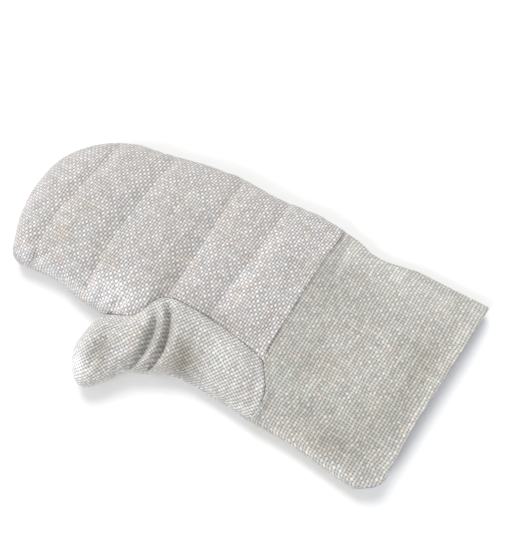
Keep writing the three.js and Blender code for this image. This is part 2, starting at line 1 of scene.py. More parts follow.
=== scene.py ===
"""Dresses the heat resistant mitten for the left hand, lying palm up.

A quilted off-white palm and back, a thumb piece with deep folds at its bend, and a flat flared cuff with
a pale blue lining. The tables repeat the part's own outline, seams and heights in millimetres; the scene
is in metres.
"""

import logging
import math
from dataclasses import dataclass, field
from enum import Enum
from typing import Any, Callable, Sequence, Union

import bmesh
import bpy
import numpy as np
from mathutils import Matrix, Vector


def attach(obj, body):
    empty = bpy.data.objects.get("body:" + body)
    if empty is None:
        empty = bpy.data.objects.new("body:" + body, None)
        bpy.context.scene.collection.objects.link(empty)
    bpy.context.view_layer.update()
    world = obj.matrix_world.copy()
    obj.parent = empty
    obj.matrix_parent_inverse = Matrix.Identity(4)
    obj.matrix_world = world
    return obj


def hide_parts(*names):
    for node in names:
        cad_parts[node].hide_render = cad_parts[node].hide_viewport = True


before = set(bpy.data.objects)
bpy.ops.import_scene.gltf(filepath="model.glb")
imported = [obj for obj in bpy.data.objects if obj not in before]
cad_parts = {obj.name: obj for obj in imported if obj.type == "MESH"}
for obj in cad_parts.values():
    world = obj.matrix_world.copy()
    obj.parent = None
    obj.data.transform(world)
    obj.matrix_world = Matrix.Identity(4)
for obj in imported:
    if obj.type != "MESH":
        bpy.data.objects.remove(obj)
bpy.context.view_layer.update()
LOG = logging.getLogger("mitten")
Array = np.ndarray
Socket = bpy.types.NodeSocket

MM = 0.001
TINY = 1e-6
# Keeps points of a pointed grid apart in the cloth simulation
APART = 0.02
SEAM_HEIGHT = 11.0
CLEARANCE = 0.3
FORK_X = 63.0
FAR = 99.0
# Numbers of the palm's first row, just past the wrist seam, and of the fingertips
WRIST = 1.003
TIP = 6
# Number of the thumb's last section
THUMB_TIP = 18
PALM_WALL = 6.0
BACK_WALL = 4.6
THUMB_WALL = 3.4
CUFF_WALL = 2.2
LINING_WALL = 1.2
LINING_OUT = CUFF_WALL + CLEARANCE
LINING_IN = LINING_OUT + LINING_WALL
HEM_TURN = 2.0
# Rows and columns of an inner face that still look like the outer cloth
TURNED_IN = (8, 12)
# How the cloth gives while its padding presses
CLOTH_GIVE = {
    "quality": 8, "mass": 0.15, "tension_stiffness": 12, "compression_stiffness": 12, "shear_stiffness": 6,
    "bending_stiffness": 0.8, "tension_damping": 12, "compression_damping": 12, "shear_damping": 12,
    "air_damping": 4, "use_pressure": True, "vertex_group_mass": "held", "pin_stiffness": 1,
}


@dataclass(frozen=True)
class Table:
    """Rows of sizes with named columns, read smoothly between the rows."""

    columns: tuple[str, ...]
    rows: tuple[tuple[float, ...], ...]

    def column(self, name: str) -> Array:
        """Returns one column as numbers."""
        at = self.columns.index(name)
        return np.array([row[at] for row in self.rows], dtype=float)

    def __call__(self, at: Array) -> Array:
        """Returns the second column at places along the first."""
        return self.read(*self.columns[:2], at)

    def read(self, key: str, value: str, at: Array) -> Array:
        """Reads a column at places of another one.

        Args:
            key: Column whose values rise from row to row.
            value: Column that is read.
            at: Places along the key column.

        Returns:
            The smooth values, held at the ends.
        """
        xs, ys = self.column(key), self.column(value)
        steps = np.diff(ys) / np.diff(xs)
        slopes = np.concatenate([steps[:1], np.zeros(len(xs) - 2), steps[-1:]])
        product = steps[:-1] * steps[1:]
        total = np.where(np.abs(steps[:-1] + steps[1:]) < 1e-12, 1.0, steps[:-1] + steps[1:])
        slopes[1:-1] = np.where(product > 0, 2 * product / total, 0.0)
        held = np.clip(np.asarray(at, dtype=float), xs[0], xs[-1])
        i = np.clip(np.searchsorted(xs, held, side="left") - 1, 0, len(xs) - 2)
        span = xs[i + 1] - xs[i]
        t = (held - xs[i]) / span
        rise = t * t * (3 - 2 * t)
        leaving = slopes[i] * span * t * (1 - t) * (1 - t)
        arriving = slopes[i + 1] * span * t * t * (t - 1)
        return ys[i] + (ys[i + 1] - ys[i]) * rise + leaving + arriving


LITTLE_EDGE = Table(("x", "y"), (
    (-178, -110.1), (-165, -109.3), (-150, -108.2), (-135, -107.1), (-119, -106.0), (-112, -104.1),
    (-104, -102.3), (-96, -100.1), (-88, -99.1), (-80, -99.3), (-73, -101.3), (-65, -102.8), (-52, -103.4),
    (-33, -103.9), (-17, -101.8), (0, -98.9), (16, -97.7), (30, -97.3), (41, -96.8), (57, -93.9),
    (74, -90.0), (90, -85.3), (107, -80.6), (124, -76.7), (132, -73.4), (141, -69.3), (149, -63.4),
    (157, -55.9), (165, -46.4), (170, -38.6), (174, -30.2), (176.5, -22.5), (178, -11.0),
))
THUMB_EDGE = Table(("x", "y"), (
    (-178, 62.4), (-160, 62.9), (-150, 62.9), (-131, 62.1), (-117, 61.6), (-103, 61.4), (-88, 61.9),
    (-70, 62.9), (-44, 62.6), (-14, 63.6), (5, 62.6), (25, 60.2), (45, 57.2), (63, 55.2), (80, 55.9),
    (93, 56.0), (102, 54.5), (113, 52.5), (121, 53.1), (133, 55.0), (142, 57.0), (149, 57.9), (155, 55.8),
    (160, 48.6), (164, 40.6), (168, 32.6), (171, 24.8), (174, 14.8), (176.5, 3.0), (178, -11.0),
))
INSET_SEAM = Table(("x", "y"), (
    (-55.4, 21.6), (-48.6, 19.8), (-37.4, 18.7), (-22.4, 17.5), (-7.3, 17.1), (8, 17.5), (21.7, 18.6),
    (28.6, 20.1), (33.1, 22.8), (36.7, 28.4), (38.9, 34.8), (41.2, 40.7), (44.5, 45.2), (50.7, 48.8),
    (57.1, 51.8), (63, 55.2),
))
HEM = Table(("y", "x"), (
    (-110, -178.0), (-68, -175.8), (-28, -174.2), (9, -172.8), (32, -173.3), (47, -174.4), (52, -172.6),
    (57, -166.7), (63, -159.5),
))
WRIST_SEAM = Table(("y", "x"), (
    (-104, -52.0), (-92, -52.8), (-74, -52.3), (-42, -52.3), (-11, -52.8), (9, -53.4), (16, -54.0),
    (21.4, -56.0), (26, -59.4), (32, -64.3), (38.7, -68.8), (45.3, -71.0), (52.6, -71.7), (58.2, -71.0),
    (63, -69.0),
))
FOURTH_CHANNEL = Table(("y", "x"), (
    (-100, -4.4), (-90, -7.4), (-65, -8.2), (-41, -7.6), (-18, -6.8), (17, -6.3),
))
THIRD_CHANNEL = Table(("y", "x"), (
    (-97, 37.0), (-91, 34.6), (-85, 33.2), (-65, 32.2), (-41, 30.6), (-18, 29.1), (6, 28.2), (22, 29.2),
))
SECOND_CHANNEL = Table(("y", "x"), (
    (-84, 94.6), (-77, 90.6), (-70, 88.8), (-51, 89.6), (-30, 90.5), (-10, 90.6), (13, 90.0), (36, 87.8),
    (49, 87.4), (56, 90.4),
))
FIRST_CHANNEL = Table(("y", "x"), (
    (-70, 139.4), (-60, 135.2), (-52, 134.5), (-28, 137.0), (-4, 138.8), (20, 139.8), (35, 139.1),
    (47, 136.4), (57, 138.4),
))
FINGERTIPS = Table(("y", "x"), (
    (-110, 178), (110, 178),
))
WRIST_UNDERSIDE = Table(("y", "x"), (
    (-104, -52.0), (-40, -53.0), (10, -57.0), (45, -64.0), (63, -69.0),
))
HEIGHTS = Table(("x", "crown", "roundness", "belly"), (
    (-180, 22.0, 3.2, 1), (-150, 20.6, 3.2, 1), (-110, 20.2, 3.2, 1), (-80, 21.4, 3.1, 1),
    (-60, 23.6, 2.9, 1), (-51, 25.6, 2.8, 1), (-40, 29.6, 2.7, 1), (-20, 33.0, 2.6, 1), (20, 35.2, 2.6, 1),
    (60, 36.0, 2.6, 1), (100, 35.2, 2.6, 1), (135, 33.2, 2.6, 1), (155, 29.6, 2.6, 0.98),
    (166, 25.4, 2.5, 0.9), (172, 21.4, 2.4, 0.74), (176, 16.4, 2.2, 0.45), (178, 11.0, 2.0, 0),
))
THUMB_SECTIONS = Table(("i", "cx", "cy", "ox", "oy", "cz", "oz", "top", "under", "bow"), (
    (0, -68, 15, -88, 63, 20, 11, 20.5, 3, 0), (1, -56, 18.4, -70, 62.7, 20.6, 11, 22.6, 3, 0),
    (2, -42, 16.4, -52, 62.8, 23.4, 11, 27.2, 3, 0), (3, -22, 15.1, -32, 63.2, 25.8, 11, 30.6, 3, 2),
    (4, -2, 14.8, -13, 64.4, 26.8, 11.2, 32.2, 3, 5), (5, 14, 15.8, 1, 68.2, 26.8, 12, 33.2, 3, 8),
    (6, 25, 17.2, 9, 73, 26.4, 12.6, 33.0, 3, 10), (7, 32.2, 19.2, 14.5, 76.4, 24.8, 12.6, 27.0, 2, 11),
    (8, 35.2, 21.4, 20.5, 79.6, 25.2, 13.4, 32.8, 1.4, 10.6),
    (9, 37.6, 25, 26.5, 82.8, 24.6, 13.2, 29.2, 1, 9.8), (10, 41.6, 34, 30.5, 85.6, 23.4, 14, 33.4, 0, 8),
    (11, 48.8, 44.6, 32.6, 89, 19.6, 14, 33.6, 0, 5), (12, 65, 54.6, 34.6, 93.6, 14, 14, 32.2, 0, 2),
    (13, 70, 71, 37.2, 98.4, 14, 14, 30.4, 0, 0), (14, 70.7, 84, 40.4, 103, 14, 14, 28.4, 0, 0),
    (15, 68.8, 92, 43.6, 106.6, 14, 14, 26.0, 1, 0), (16, 65.4, 98.2, 47, 109.2, 14, 14, 23.2, 3, 0),
    (17, 61.4, 103.4, 51, 110.1, 14, 14, 19.4, 7, 0), (18, 57, 107.6, 57, 107.6, 14, 14, 14.0, 14, 0),
))
CROSS_LINES = (HEM, WRIST_SEAM, FOURTH_CHANNEL, THIRD_CHANNEL, SECOND_CHANNEL, FIRST_CHANNEL, FINGERTIPS)
UNDERSIDE_LINES = (HEM, WRIST_UNDERSIDE, *CROSS_LINES[2:])
# Quilted channels: line, depth and width
CHANNELS = (
    (FOURTH_CHANNEL, 1.4, 5),
    (THIRD_CHANNEL, 1.6, 5),
    (SECOND_CHANNEL, 1.7, 5),
    (FIRST_CHANNEL, 1.5, 4.5),
)
# Soft dents of the palm: X, Y, depth and half-lengths along X and Y
DENTS = (
    (40, -1, 1.6, 12, 18),
    (130, 46, 2.4, 6, 10),
    (59, 42, 1.6, 9, 16),
    (17, -86, 1.4, 16, 10),
)


def smoothstep(low: float, high: float, value: Array) -> Array:
    """Returns a smooth rise from 0 at low to 1 at high."""
    t = np.clip((value - low) / (high - low), 0, 1)
    return t * t * (3 - 2 * t)


def mix(a: Array, b: Array, t: Array) -> Array:
    """Returns the value between a and b at share t."""
    return a + (b - a) * t


def bell(away: Array, width: float) -> Array:
    """Returns 1 at a place and less, like a bell, away from it."""
    return np.exp(-((away / width) ** 2))


def roll(away: Array, radius: float) -> Array:
    """Returns how far a cloth's edge turns down at a distance from its seam, as a quarter circle."""
    inside = np.clip(radius - away, 0, radius)
    return radius - np.sqrt(radius * radius - inside * inside)


def palm_edge(x: Array) -> Array:
    """Returns Y of the palm's edge on the thumb's side: the inset seam, and beyond the fork the outline."""
    return np.where(x < FORK_X, INSET_SEAM(x), THUMB_EDGE(x))


def quads(rows: int, columns: int, closed: bool = False) -> list[tuple[int, ...]]:
    """Returns the faces of a grid of points, with its last column joined to its first if it is closed."""
    across = [(j, (j + 1) % columns) for j in range(columns if closed else columns - 1)]
    return [
        (i * columns + a, (i + 1) * columns + a, (i + 1) * columns + b, i * columns + b)
        for i in range(rows - 1)
        for a, b in across
    ]


def placed(name: str, data: Any) -> bpy.types.Object:
    """Puts a new object into the scene."""
    thing = bpy.data.objects.new(name, data)
    bpy.context.scene.collection.objects.link(thing)
    return thing


class Form:
    """The mitten's own surfaces, in millimetres, worked out from its tables."""

    BELLY_REACH = 4.0
    BELLY_ROUNDNESS = 3.4
    FOLD_RISE = 1.6
    FOLD_WIDTH = 6.0
    FOLD_END = (0.7, 1.6)
    INSET_DIP = 2.2
    INSET_WIDTH = 4.0
    INSET_REACH = 3.0

    @classmethod
    def station_x(cls, station: Array, y: Array, lines: Sequence[Table]) -> Array:
        """Finds X of the cross line numbered by station.

        Args:
            station: Numbers from 0 at the hem to 6 at the fingertips.
            y: Places across the mitten.
            lines: The numbered lines.

        Returns:
            X at each place, between two lines for the numbers in between.
        """
        station, y = np.broadcast_arrays(np.asarray(station, float), np.asarray(y, float))
        values = np.stack([line(y) for line in lines])
        i = np.clip(np.floor(station).astype(int), 0, len(lines) - 2)
        low = np.take_along_axis(values, i[None], 0)[0]
        high = np.take_along_axis(values, i[None] + 1, 0)[0]
        return mix(low, high, station - i)

    @classmethod
    def meet_edge(cls, station: Array, edge: Callable, shift: Union[Array, float] = 0.0) -> Array:
        """Returns Y where each cross line meets an edge of the mitten."""
        y = edge(cls.station_x(station, 0.0, CROSS_LINES) + shift)
        for _ in range(24):
            y = mix(y, edge(cls.station_x(station, y, CROSS_LINES) + shift), 0.6)
        return y

    @classmethod
    def ends(cls, station: Array, inset: float, shift: Union[Array, float] = 0.0) -> tuple[Array, Array]:
        """Returns Y at both ends of each cross line, an inset within the outline."""
        near = cls.meet_edge(station, lambda x: LITTLE_EDGE(x) + inset, shift)
        far = cls.meet_edge(station, lambda x: THUMB_EDGE(x) - inset, shift)
        return near, np.maximum(near, far)

    @classmethod
    def across(cls, x: Array, y: Array, inset: float) -> Array:
        """Returns the place across, from -1 at the little finger's side to 1 at the thumb's."""
        near, far = LITTLE_EDGE(x) + inset, THUMB_EDGE(x) - inset
        return np.clip((y - (near + far) / 2) / np.maximum((far - near) / 2, 0.01), -1, 1)

    @staticmethod
    def super_round(v: Array, power: Array) -> Array:
        """Returns the height of a rounded section at a place across it."""
        return np.maximum(0, 1 - np.abs(v) ** power) ** (1 / power)

    @classmethod
    def dips(cls, x: Array, y: Array) -> Array:
        """Returns how far channels, dents and seams pull the palm in."""
        dip = np.zeros(np.broadcast(x, y).shape)
        for line, depth, width in CHANNELS:
            away = (x - line(y)) / width
            dip += depth / (1 + away * away)
        for dent_x, dent_y, depth, along_x, along_y in DENTS:
            dip += depth * np.exp(-(((x - dent_x) / along_x) ** 2) - ((y - dent_y) / along_y) ** 2)
        away = (INSET_SEAM(x) - y) / cls.INSET_WIDTH
        beside = cls.INSET_DIP * np.exp(-np.maximum(away, 0) ** 2)
        dip += np.where(x > FORK_X + cls.INSET_REACH, 0.0, beside)
        fold = (x - WRIST_SEAM(y)) / cls.FOLD_WIDTH
        return dip - cls.FOLD_RISE * (1 - smoothstep(*cls.FOLD_END, fold))

    @classmethod
    def top(cls, x: Array, y: Array, inset: float, detailed: bool) -> Array:
        """Returns the height of the top, or of one of its inner surfaces."""
        crown = HEIGHTS.read("x", "crown", x) - inset - SEAM_HEIGHT
        bulge = cls.super_round(cls.across(x, y, inset), HEIGHTS.read("x", "roundness", x))
        dips = cls.dips(x, y) if detailed else 0.0
        return SEAM_HEIGHT + np.maximum(0, (np.maximum(crown, 0) - dips) * bulge)

    @classmethod
    def under(cls, x: Array, y: Array, inset: float) -> Array:
        """Returns the height of the underside, or of one of its inner surfaces."""
        depth = (SEAM_HEIGHT + cls.BELLY_REACH - inset) * HEIGHTS.read("x", "belly", x)
        bulge = cls.super_round(cls.across(x, y, inset), cls.BELLY_ROUNDNESS)
        return np.clip(SEAM_HEIGHT - depth * bulge, min(inset, SEAM_HEIGHT), SEAM_HEIGHT)

    @staticmethod
    def ripple(x: Array, y: Array, size: float) -> Array:
        """Returns the soft unevenness of used cloth, between about -1 and 1, for waves of a size."""
        u, v = x / size, y / size
        wave = np.sin(1.7 * u + 0.9 * v + 0.4) + np.sin(-0.8 * u + 1.9 * v + 2.1)
        wave += 0.7 * np.sin(2.9 * u - 1.3 * v + 4.2) + 0.6 * np.sin(1.1 * u + 3.1 * v + 0.9)
        return wave / 3.3


class Side(Enum):
    """Which side of the seam round the mitten a face lies on."""

    ABOVE = 1
    BELOW = -1


def turned(plan: Array, degrees: float) -> Array:
    """Returns places in a plan as seen along axes turned by an angle."""
    c, s = math.cos(math.radians(degrees)), math.sin(math.radians(degrees))
    return np.stack([plan[..., 0] * c + plan[..., 1] * s, plan[..., 1] * c - plan[..., 0] * s], axis=-1)


def outward(form: Array, side: Side) -> Array:
    """Finds how much further than its plan a cloth reaches as it bends round the edge of a form.

    Args:
        form: Rows and columns of points, without small folds.
        side: Whether the form lies above or below the seam round the mitten.

    Returns:
        The way out in X and Y at each point.
    """
    normal = np.cross(np.gradient(form, axis=0), np.gradient(form, axis=1))
    normal /= np.maximum(np.linalg.norm(normal, axis=-1, keepdims=True), 1e-9)
    normal *= side.value * np.sign(normal[..., 2].mean())
    lean = np.arccos(np.clip(np.abs(normal[..., 2]), 0, 1))
    share = np.where(lean < 0.05, lean / 3, (lean - np.sin(lean)) / np.maximum(1 - np.cos(lean), 1e-4))
    height = form[..., 2]
    fall = height.max() - height if side is Side.ABOVE else height - height.min()
    level = np.maximum(np.linalg.norm(normal[..., :2], axis=-1), 1e-6)
    way = normal[..., :2] * (share * fall / level)[..., None]
    way[0], way[-1] = way[1], way[-2]
    way[:, 0], way[:, -1] = 2 * way[:, 1] - way[:, 2], 2 * way[:, -2] - way[:, -3]
    return way


@dataclass
class Skin:
    """One face of a cloth panel: a grid of points in millimetres and the cloth's own coordinates."""

    points: Array
    cloth: Array

    @classmethod
    def laid(cls, points: Array, turn: float = 0.0) -> "Skin":
        """Lays woven cloth over a grid of points.

        Args:
            points: Rows and columns of points.
            turn: Angle of the yarns to the length of the mitten, in degrees.

        Returns:
            The skin, with coordinates that follow the cloth up and down its slopes.
        """
        plan = points[..., :2].copy()
        for axis in (0, 1):
            step = np.diff(points, axis=axis)
            flat = np.linalg.norm(step[..., :2], axis=-1, keepdims=True)
            spare = np.linalg.norm(step, axis=-1, keepdims=True) - flat
            way = step[..., :2] / np.maximum(flat, 1e-6)
            extra = np.cumsum(spare * way, axis=axis)
            lead = np.zeros_like(np.take(plan, [0], axis=axis))
            extra = np.concatenate([lead, extra], axis=axis)
            if axis == 1:
                extra -= extra[:, extra.shape[1] // 2][:, None]
            plan += extra
        return cls(points, turned(plan, turn))


def doubled(values: Array, axis: int) -> Array:
    """Puts a smooth value between each two along an axis."""
    rows = np.moveaxis(values, axis, 0)
    before = np.concatenate([rows[:1], rows[:-2]])
    after = np.concatenate([rows[2:], rows[-1:]])
    between = (9 * (rows[:-1] + rows[1:]) - (before + after)) / 16
    out = np.empty((2 * len(rows) - 1,) + rows.shape[1:])
    out[0::2], out[1::2] = rows, between
    return np.moveaxis(out, 0, axis)


@dataclass(frozen=True)
class Padding:
    """Padding that presses a cloth outwards between the seams that hold it."""

    pressure: float
    slack: float
    most: float
    frames: int = 20

    def moves(self, name: str, points: Array, held: Array) -> Array:
        """Lets the cloth swell, in a cloth simulation on every second point.

        Args:
            name: Name of the piece.
            points: Grid of points with an odd number of rows and columns.
            held: For each point, from 0 free to 1 held by a seam.

        Returns:
            How far each point moves, in millimetres.
        """
        coarse, pins = points[::2, ::2].copy(), held[::2, ::2]
        rows, columns = coarse.shape[:2]
        coarse[..., :2] += APART * np.arange(columns)[None, :, None]
        mesh = bpy.data.meshes.new(f"{name}_swell")
        mesh.from_pydata([tuple(p) for p in coarse.reshape(-1, 3) * MM], [], quads(rows, columns))
        cloth = placed(mesh.name, mesh)
        group = cloth.vertex_groups.new(name="held")
        for i, weight in enumerate(pins.reshape(-1)):
            group.add([i], float(weight), "REPLACE")
        modifier = cloth.modifiers.new("swell", "CLOTH")
        settings = modifier.settings
        for key, value in CLOTH_GIVE.items():
            setattr(settings, key, value)
        settings.effector_weights.gravity = 0
        settings.uniform_pressure_force = self.pressure
        settings.shrink_min = -self.slack
        modifier.collision_settings.use_collision = False
        modifier.point_cache.frame_end = self.frames
        for number in range(1, self.frames + 1):
            bpy.context.scene.frame_set(number)
        ready = cloth.evaluated_get(bpy.context.evaluated_depsgraph_get())
        end = np.empty(len(mesh.vertices) * 3)
        ready.data.vertices.foreach_get("co", end)
        bpy.context.scene.frame_set(1)
        bpy.data.objects.remove(cloth)
        bpy.data.meshes.remove(mesh)
        move = end.reshape(rows, columns, 3) / MM - coarse
        size = np.linalg.norm(move, axis=-1, keepdims=True)
        move *= self.most * np.tanh(size / self.most) / np.maximum(size, 1e-9)
        LOG.info("%s: padding swells the cloth by up to %.1f mm", name, float(size.max()))
        return doubled(doubled(move * (1 - pins[..., None]), 0), 1)


def painted_light_and_soil_at(x: Array, y: Array) -> Array:
    """Returns how much darker painted shade and soil leave the cloth, or paler, as painted highlight, where
    it is below 0.
    """
    total = np.zeros(x.shape)
    for patch_x, patch_y, along, across, share in PAINTED_LIGHT_AND_SOIL_PATCHES.rows:
        total += share * np.exp(-(((x - patch_x) / along) ** 2) - ((y - patch_y) / across) ** 2)
    return total


def cloth_object(name: str, grids: list[Array], cloths: list[Array], layers: list[Array],
                 faces: list[tuple[int, ...]]) -> bpy.types.Object:
    """Makes one closed cloth piece.

    Args:
        name: Name of the piece.
        grids: Points in millimetres, grid by grid.
        cloths: The cloth's coordinates at the points.
        layers: For each point, which face of the cloth it is on.
        faces: Faces by point number over all the grids.

    Returns:
        The object, with the cloth's coordinates in its attribute "cloth" and, in a second attribute, its
        painted shade, painted highlight and soil.
    """
    points = np.concatenate([grid.reshape(-1, 3) for grid in grids])
    cloth = np.concatenate([part.reshape(-1, 2) for part in cloths])
    layer = np.concatenate([part.reshape(-1) for part in layers])
    mesh = bpy.data.meshes.new(name)
    mesh.from_pydata([tuple(p) for p in points * MM], [], faces)
    values = np.column_stack([cloth, layer]).astype(np.float32)
    mesh.attributes.new("cloth", "FLOAT_VECTOR", "POINT").data.foreach_set("vector", values.reshape(-1))
    # Painted shade and painted highlight, partly soil, kept to the top faces
    painted_light_and_soil = painted_light_and_soil_at(points[:, 0], points[:, 1]) * smoothstep(SEAM_HEIGHT - 2, SEAM_HEIGHT + 4, points[:, 2])
    mesh.attributes.new("painted_light_and_soil", "FLOAT", "POINT").data.foreach_set("value", painted_light_and_soil.astype(np.float32))
    work = bmesh.new()
    work.from_mesh(mesh)
    bmesh.ops.remove_doubles(work, verts=work.verts, dist=2e-5)
    bmesh.ops.dissolve_degenerate(work, edges=work.edges, dist=1e-6)
    loose = [v for v in work.verts if not v.link_faces]
    bmesh.ops.delete(work, geom=loose, context="VERTS")
    bmesh.ops.recalc_face_normals(work, faces=work.faces)
    if work.calc_volume(signed=True) < 0:
        bmesh.ops.reverse_faces(work, faces=work.faces)
    work.to_mesh(mesh)
    work.free()
    mesh.shade_smooth()
    mesh.set_sharp_from_angle(angle=math.radians(62))
    return placed(name, mesh)


def two_faced(name: str, outer: Skin, inner: Skin, open_rows: Union[int, None] = None) -> bpy.types.Object:
    """Joins an outer and an inner skin of the same grid by the panel's edges.

    Args:
        name: Name of the piece.
        outer: The outer skin.
        inner: The inner skin.
        open_rows: Rows whose two ends are edges, if not all; beyond them the ends meet.

    Returns:
        The closed piece.
    """
    rows, columns = outer.points.shape[:2]
    count = rows * columns

    def at(layer: int, i: int, j: int) -> int:
        """Returns a point's number."""
        return layer * count + i * columns + j

    faces: list[tuple[int, ...]] = []
    for i in range(rows - 1):
        for j in range(columns - 1):
            faces.append((at(0, i, j), at(0, i + 1, j), at(0, i + 1, j + 1), at(0, i, j + 1)))
            faces.append((at(1, i, j), at(1, i, j + 1), at(1, i + 1, j + 1), at(1, i + 1, j)))
        if open_rows is None or i < open_rows:
            faces.append((at(0, i + 1, 0), at(0, i, 0), at(1, i, 0), at(1, i + 1, 0)))
            last = columns - 1
            faces.append((at(0, i, last), at(0, i + 1, last), at(1, i + 1, last), at(1, i, last)))
    for i in (0, rows - 1) if open_rows is None else (0,):
        for j in range(columns - 1):
            faces.append((at(0, i, j), at(0, i, j + 1), at(1, i, j + 1), at(1, i, j)))
    within = np.zeros((rows, columns))
    rim, side = TURNED_IN
    within[rim:, side:-side] = 1
    layers = [np.zeros((rows, columns)), within]
    return cloth_object(name, [outer.points, inner.points], [outer.cloth, inner.cloth], layers, faces)


def finished(piece: bpy.types.Object, nodes: Sequence[str], slot: str, finish: bpy.types.Material) -> None:
    """Dresses a piece and sets it on the frame.

    Args:
        piece: The finished piece.
        nodes: Nodes of the part that it stands for.
        slot: Material slot of the record; not used.
        finish: Its material.
    """
    piece.data.materials.clear()
    piece.data.materials.append(finish)
    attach(piece, "root")
    if nodes:
        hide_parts(*nodes)
    LOG.info("%s: %d faces", piece.name, len(piece.data.polygons))


def clustered(count: int, start: float, end: float, pull: float = 1.0) -> Array:
    """Returns shares from start to end, closer together at both ends."""
    t = np.linspace(0, 1, count)
    return mix(start, end, mix(t, (1 - np.cos(np.pi * t)) / 2, pull))


@dataclass
class Palm:
    """The quilted palm, from the folded edge at the wrist to the fingertips."""

    rows_between: tuple[int, ...] = (34, 28, 36, 32, 38)
    columns: int = 101
    stitch_groove: float = 0.8
    groove_width: float = 1.2
    slope_width: float = 7.0
    overlap: float = 1.1
    tuck: float = 0.22
    held_width: float = 2.2
    wrist_roll: float = 0.9
    inset_roll: float = 1.3
    wrist_ridge: tuple[float, float, float] = (0.5, 1.4, 1.0)
    ripples: tuple[tuple[float, float], ...] = ((0.35, 11.0), (0.22, 5.2))
    padding: Padding = field(default_factory=lambda: Padding(pressure=100.0, slack=0.006, most=2.4))

    def stations(self) -> Array:
        """Returns the palm's rows, closer together at its ends."""
        parts = [[WRIST]]
        for i, count in enumerate(self.rows_between):
            t = np.linspace(0, 1, count + 1)[1:]
            t = t - 0.68 * np.sin(2 * np.pi * t) / (2 * np.pi)
            if i == len(self.rows_between) - 1:
                t = mix(t, 1 - (1 - t) ** 1.9, t)
            parts.append(1 + i + t)
        return np.concatenate(parts)[:, None]

    def grid(self, inset: float, detailed: bool) -> Array:
        """Returns the points of the palm's face, or of its inner face."""
        station = self.stations()
        near, far = Form.ends(station, inset)

        def seam(x: Array) -> Array:
            """Returns the face's edge on the thumb's side."""
            inner = INSET_SEAM(x) - CLEARANCE / 2
            return np.where(x < FORK_X, inner, THUMB_EDGE(x) - inset)

        end = np.clip(Form.meet_edge(station, seam), near, far)
        t = np.linspace(0, 1, self.columns)[None, :]
        y = near + (far - near) * (1 - np.cos(np.pi * t)) / 2 - (far - end) * smoothstep(0.2, 1.0, t)
        x = Form.station_x(station, y, CROSS_LINES)
        z = Form.top(x, y, inset, detailed)
        drawn = x - inset * smoothstep(TIP - 1, TIP, station)
        return np.stack([drawn, y, z], axis=-1)

    def held(self, points: Array) -> Array:
        """Returns where seams and channels hold the cloth."""
        x, y = points[..., 0], points[..., 1]
        hold = np.zeros(x.shape)
        for line, _, _ in CHANNELS:
            hold = np.maximum(hold, bell(x - line(y), self.held_width))
        hold = np.maximum(hold, 1 - smoothstep(5.0, 11.0, x - WRIST_SEAM(y)))
        inset = np.where(x < FORK_X + 4, np.abs(INSET_SEAM(x) - y), FAR)
        hold = np.maximum(hold, 1 - smoothstep(1.5, 6.0, inset))
        hold[0] = hold[-1] = 1
        hold[:, 0] = hold[:, -1] = 1
        return np.clip(hold, 0, 1)

    def relief(self, points: Array) -> Array:
        """Returns how far the sewn details lower the face."""
        x, y = points[..., 0], points[..., 1]
        drop = np.zeros(x.shape)
        for line, _, _ in CHANNELS:
            away = x - line(y)
            width = np.where(away > 0, self.slope_width, self.groove_width)
            drop += self.stitch_groove * bell(away, width)
        from_wrist = x - WRIST_SEAM(y)
        height, place, width = self.wrist_ridge
        drop += roll(from_wrist, self.wrist_roll) - height * bell(from_wrist - place, width)
        from_inset = np.where(x < FORK_X, INSET_SEAM(x) - y, FAR)
        drop += roll(np.maximum(from_inset, 0), self.inset_roll)
        for line in PALM_CREASES:
            drop += line.drop(x, y)
        (large, wide), (small, narrow) = self.ripples
        drop -= large * Form.ripple(x, y, wide) + small * Form.ripple(y, x, narrow)
        return drop * np.clip((points[..., 2] - SEAM_HEIGHT) / 6, 0, 1)

    def build(self, finish: bpy.types.Material) -> bpy.types.Object:
        """Returns the finished palm."""
        points = self.grid(0.0, True)
        points = points + self.padding.moves("palm", points, self.held(points))
        points[..., 2] -= self.relief(points)
        points[..., 0] -= self.overlap * (1 - smoothstep(0.0, 4.0, points[..., 0] - points[:1, :, 0]))
        beside = (points[:, -1:, 0] < FORK_X) * np.exp(-np.abs(points[:, -1:, 1] - points[..., 1]))
        points[..., 1] += self.tuck * beside
        plan = points[..., :2] + outward(self.grid(0.0, False), Side.ABOVE)
        piece = two_faced("quilted_palm", Skin(points, plan), Skin.laid(self.grid(PALM_WALL, False)))
        finished(piece, ["palm"], "hand_cloth", finish)
        return piece


@dataclass
class Back:
    """The back of the hand, on which the mitten lies."""

    rows: int = 91
    columns: int = 81
    crowding: float = 1.35

    def grid(self, inset: float) -> Array:
        """Returns the points of the back's face, or of its inner face."""
        t = np.linspace(0, 1, self.rows)
        station = (WRIST + (TIP - WRIST) * (1 - (1 - t) ** self.crowding))[:, None]
        near, far = Form.ends(station, inset)
        y = mix(near, far, clustered(self.columns, 0, 1)[None, :])
        x = Form.station_x(station, y, UNDERSIDE_LINES)
        z = np.minimum(Form.under(x, y, inset), SEAM_HEIGHT - CLEARANCE)
        drawn = x - inset * smoothstep(TIP - 1, TIP, station)
        return np.stack([drawn, y, z], axis=-1)

    def build(self, finish: bpy.types.Material) -> bpy.types.Object:
        """Returns the finished back."""
        points = self.grid(0.0)
        plan = points[..., :2] + outward(points, Side.BELOW)
        piece = two_faced("hand_back_cloth", Skin(points, plan), Skin.laid(self.grid(BACK_WALL)))
        finished(piece, ["hand_back"], "hand_cloth", finish)
        return piece


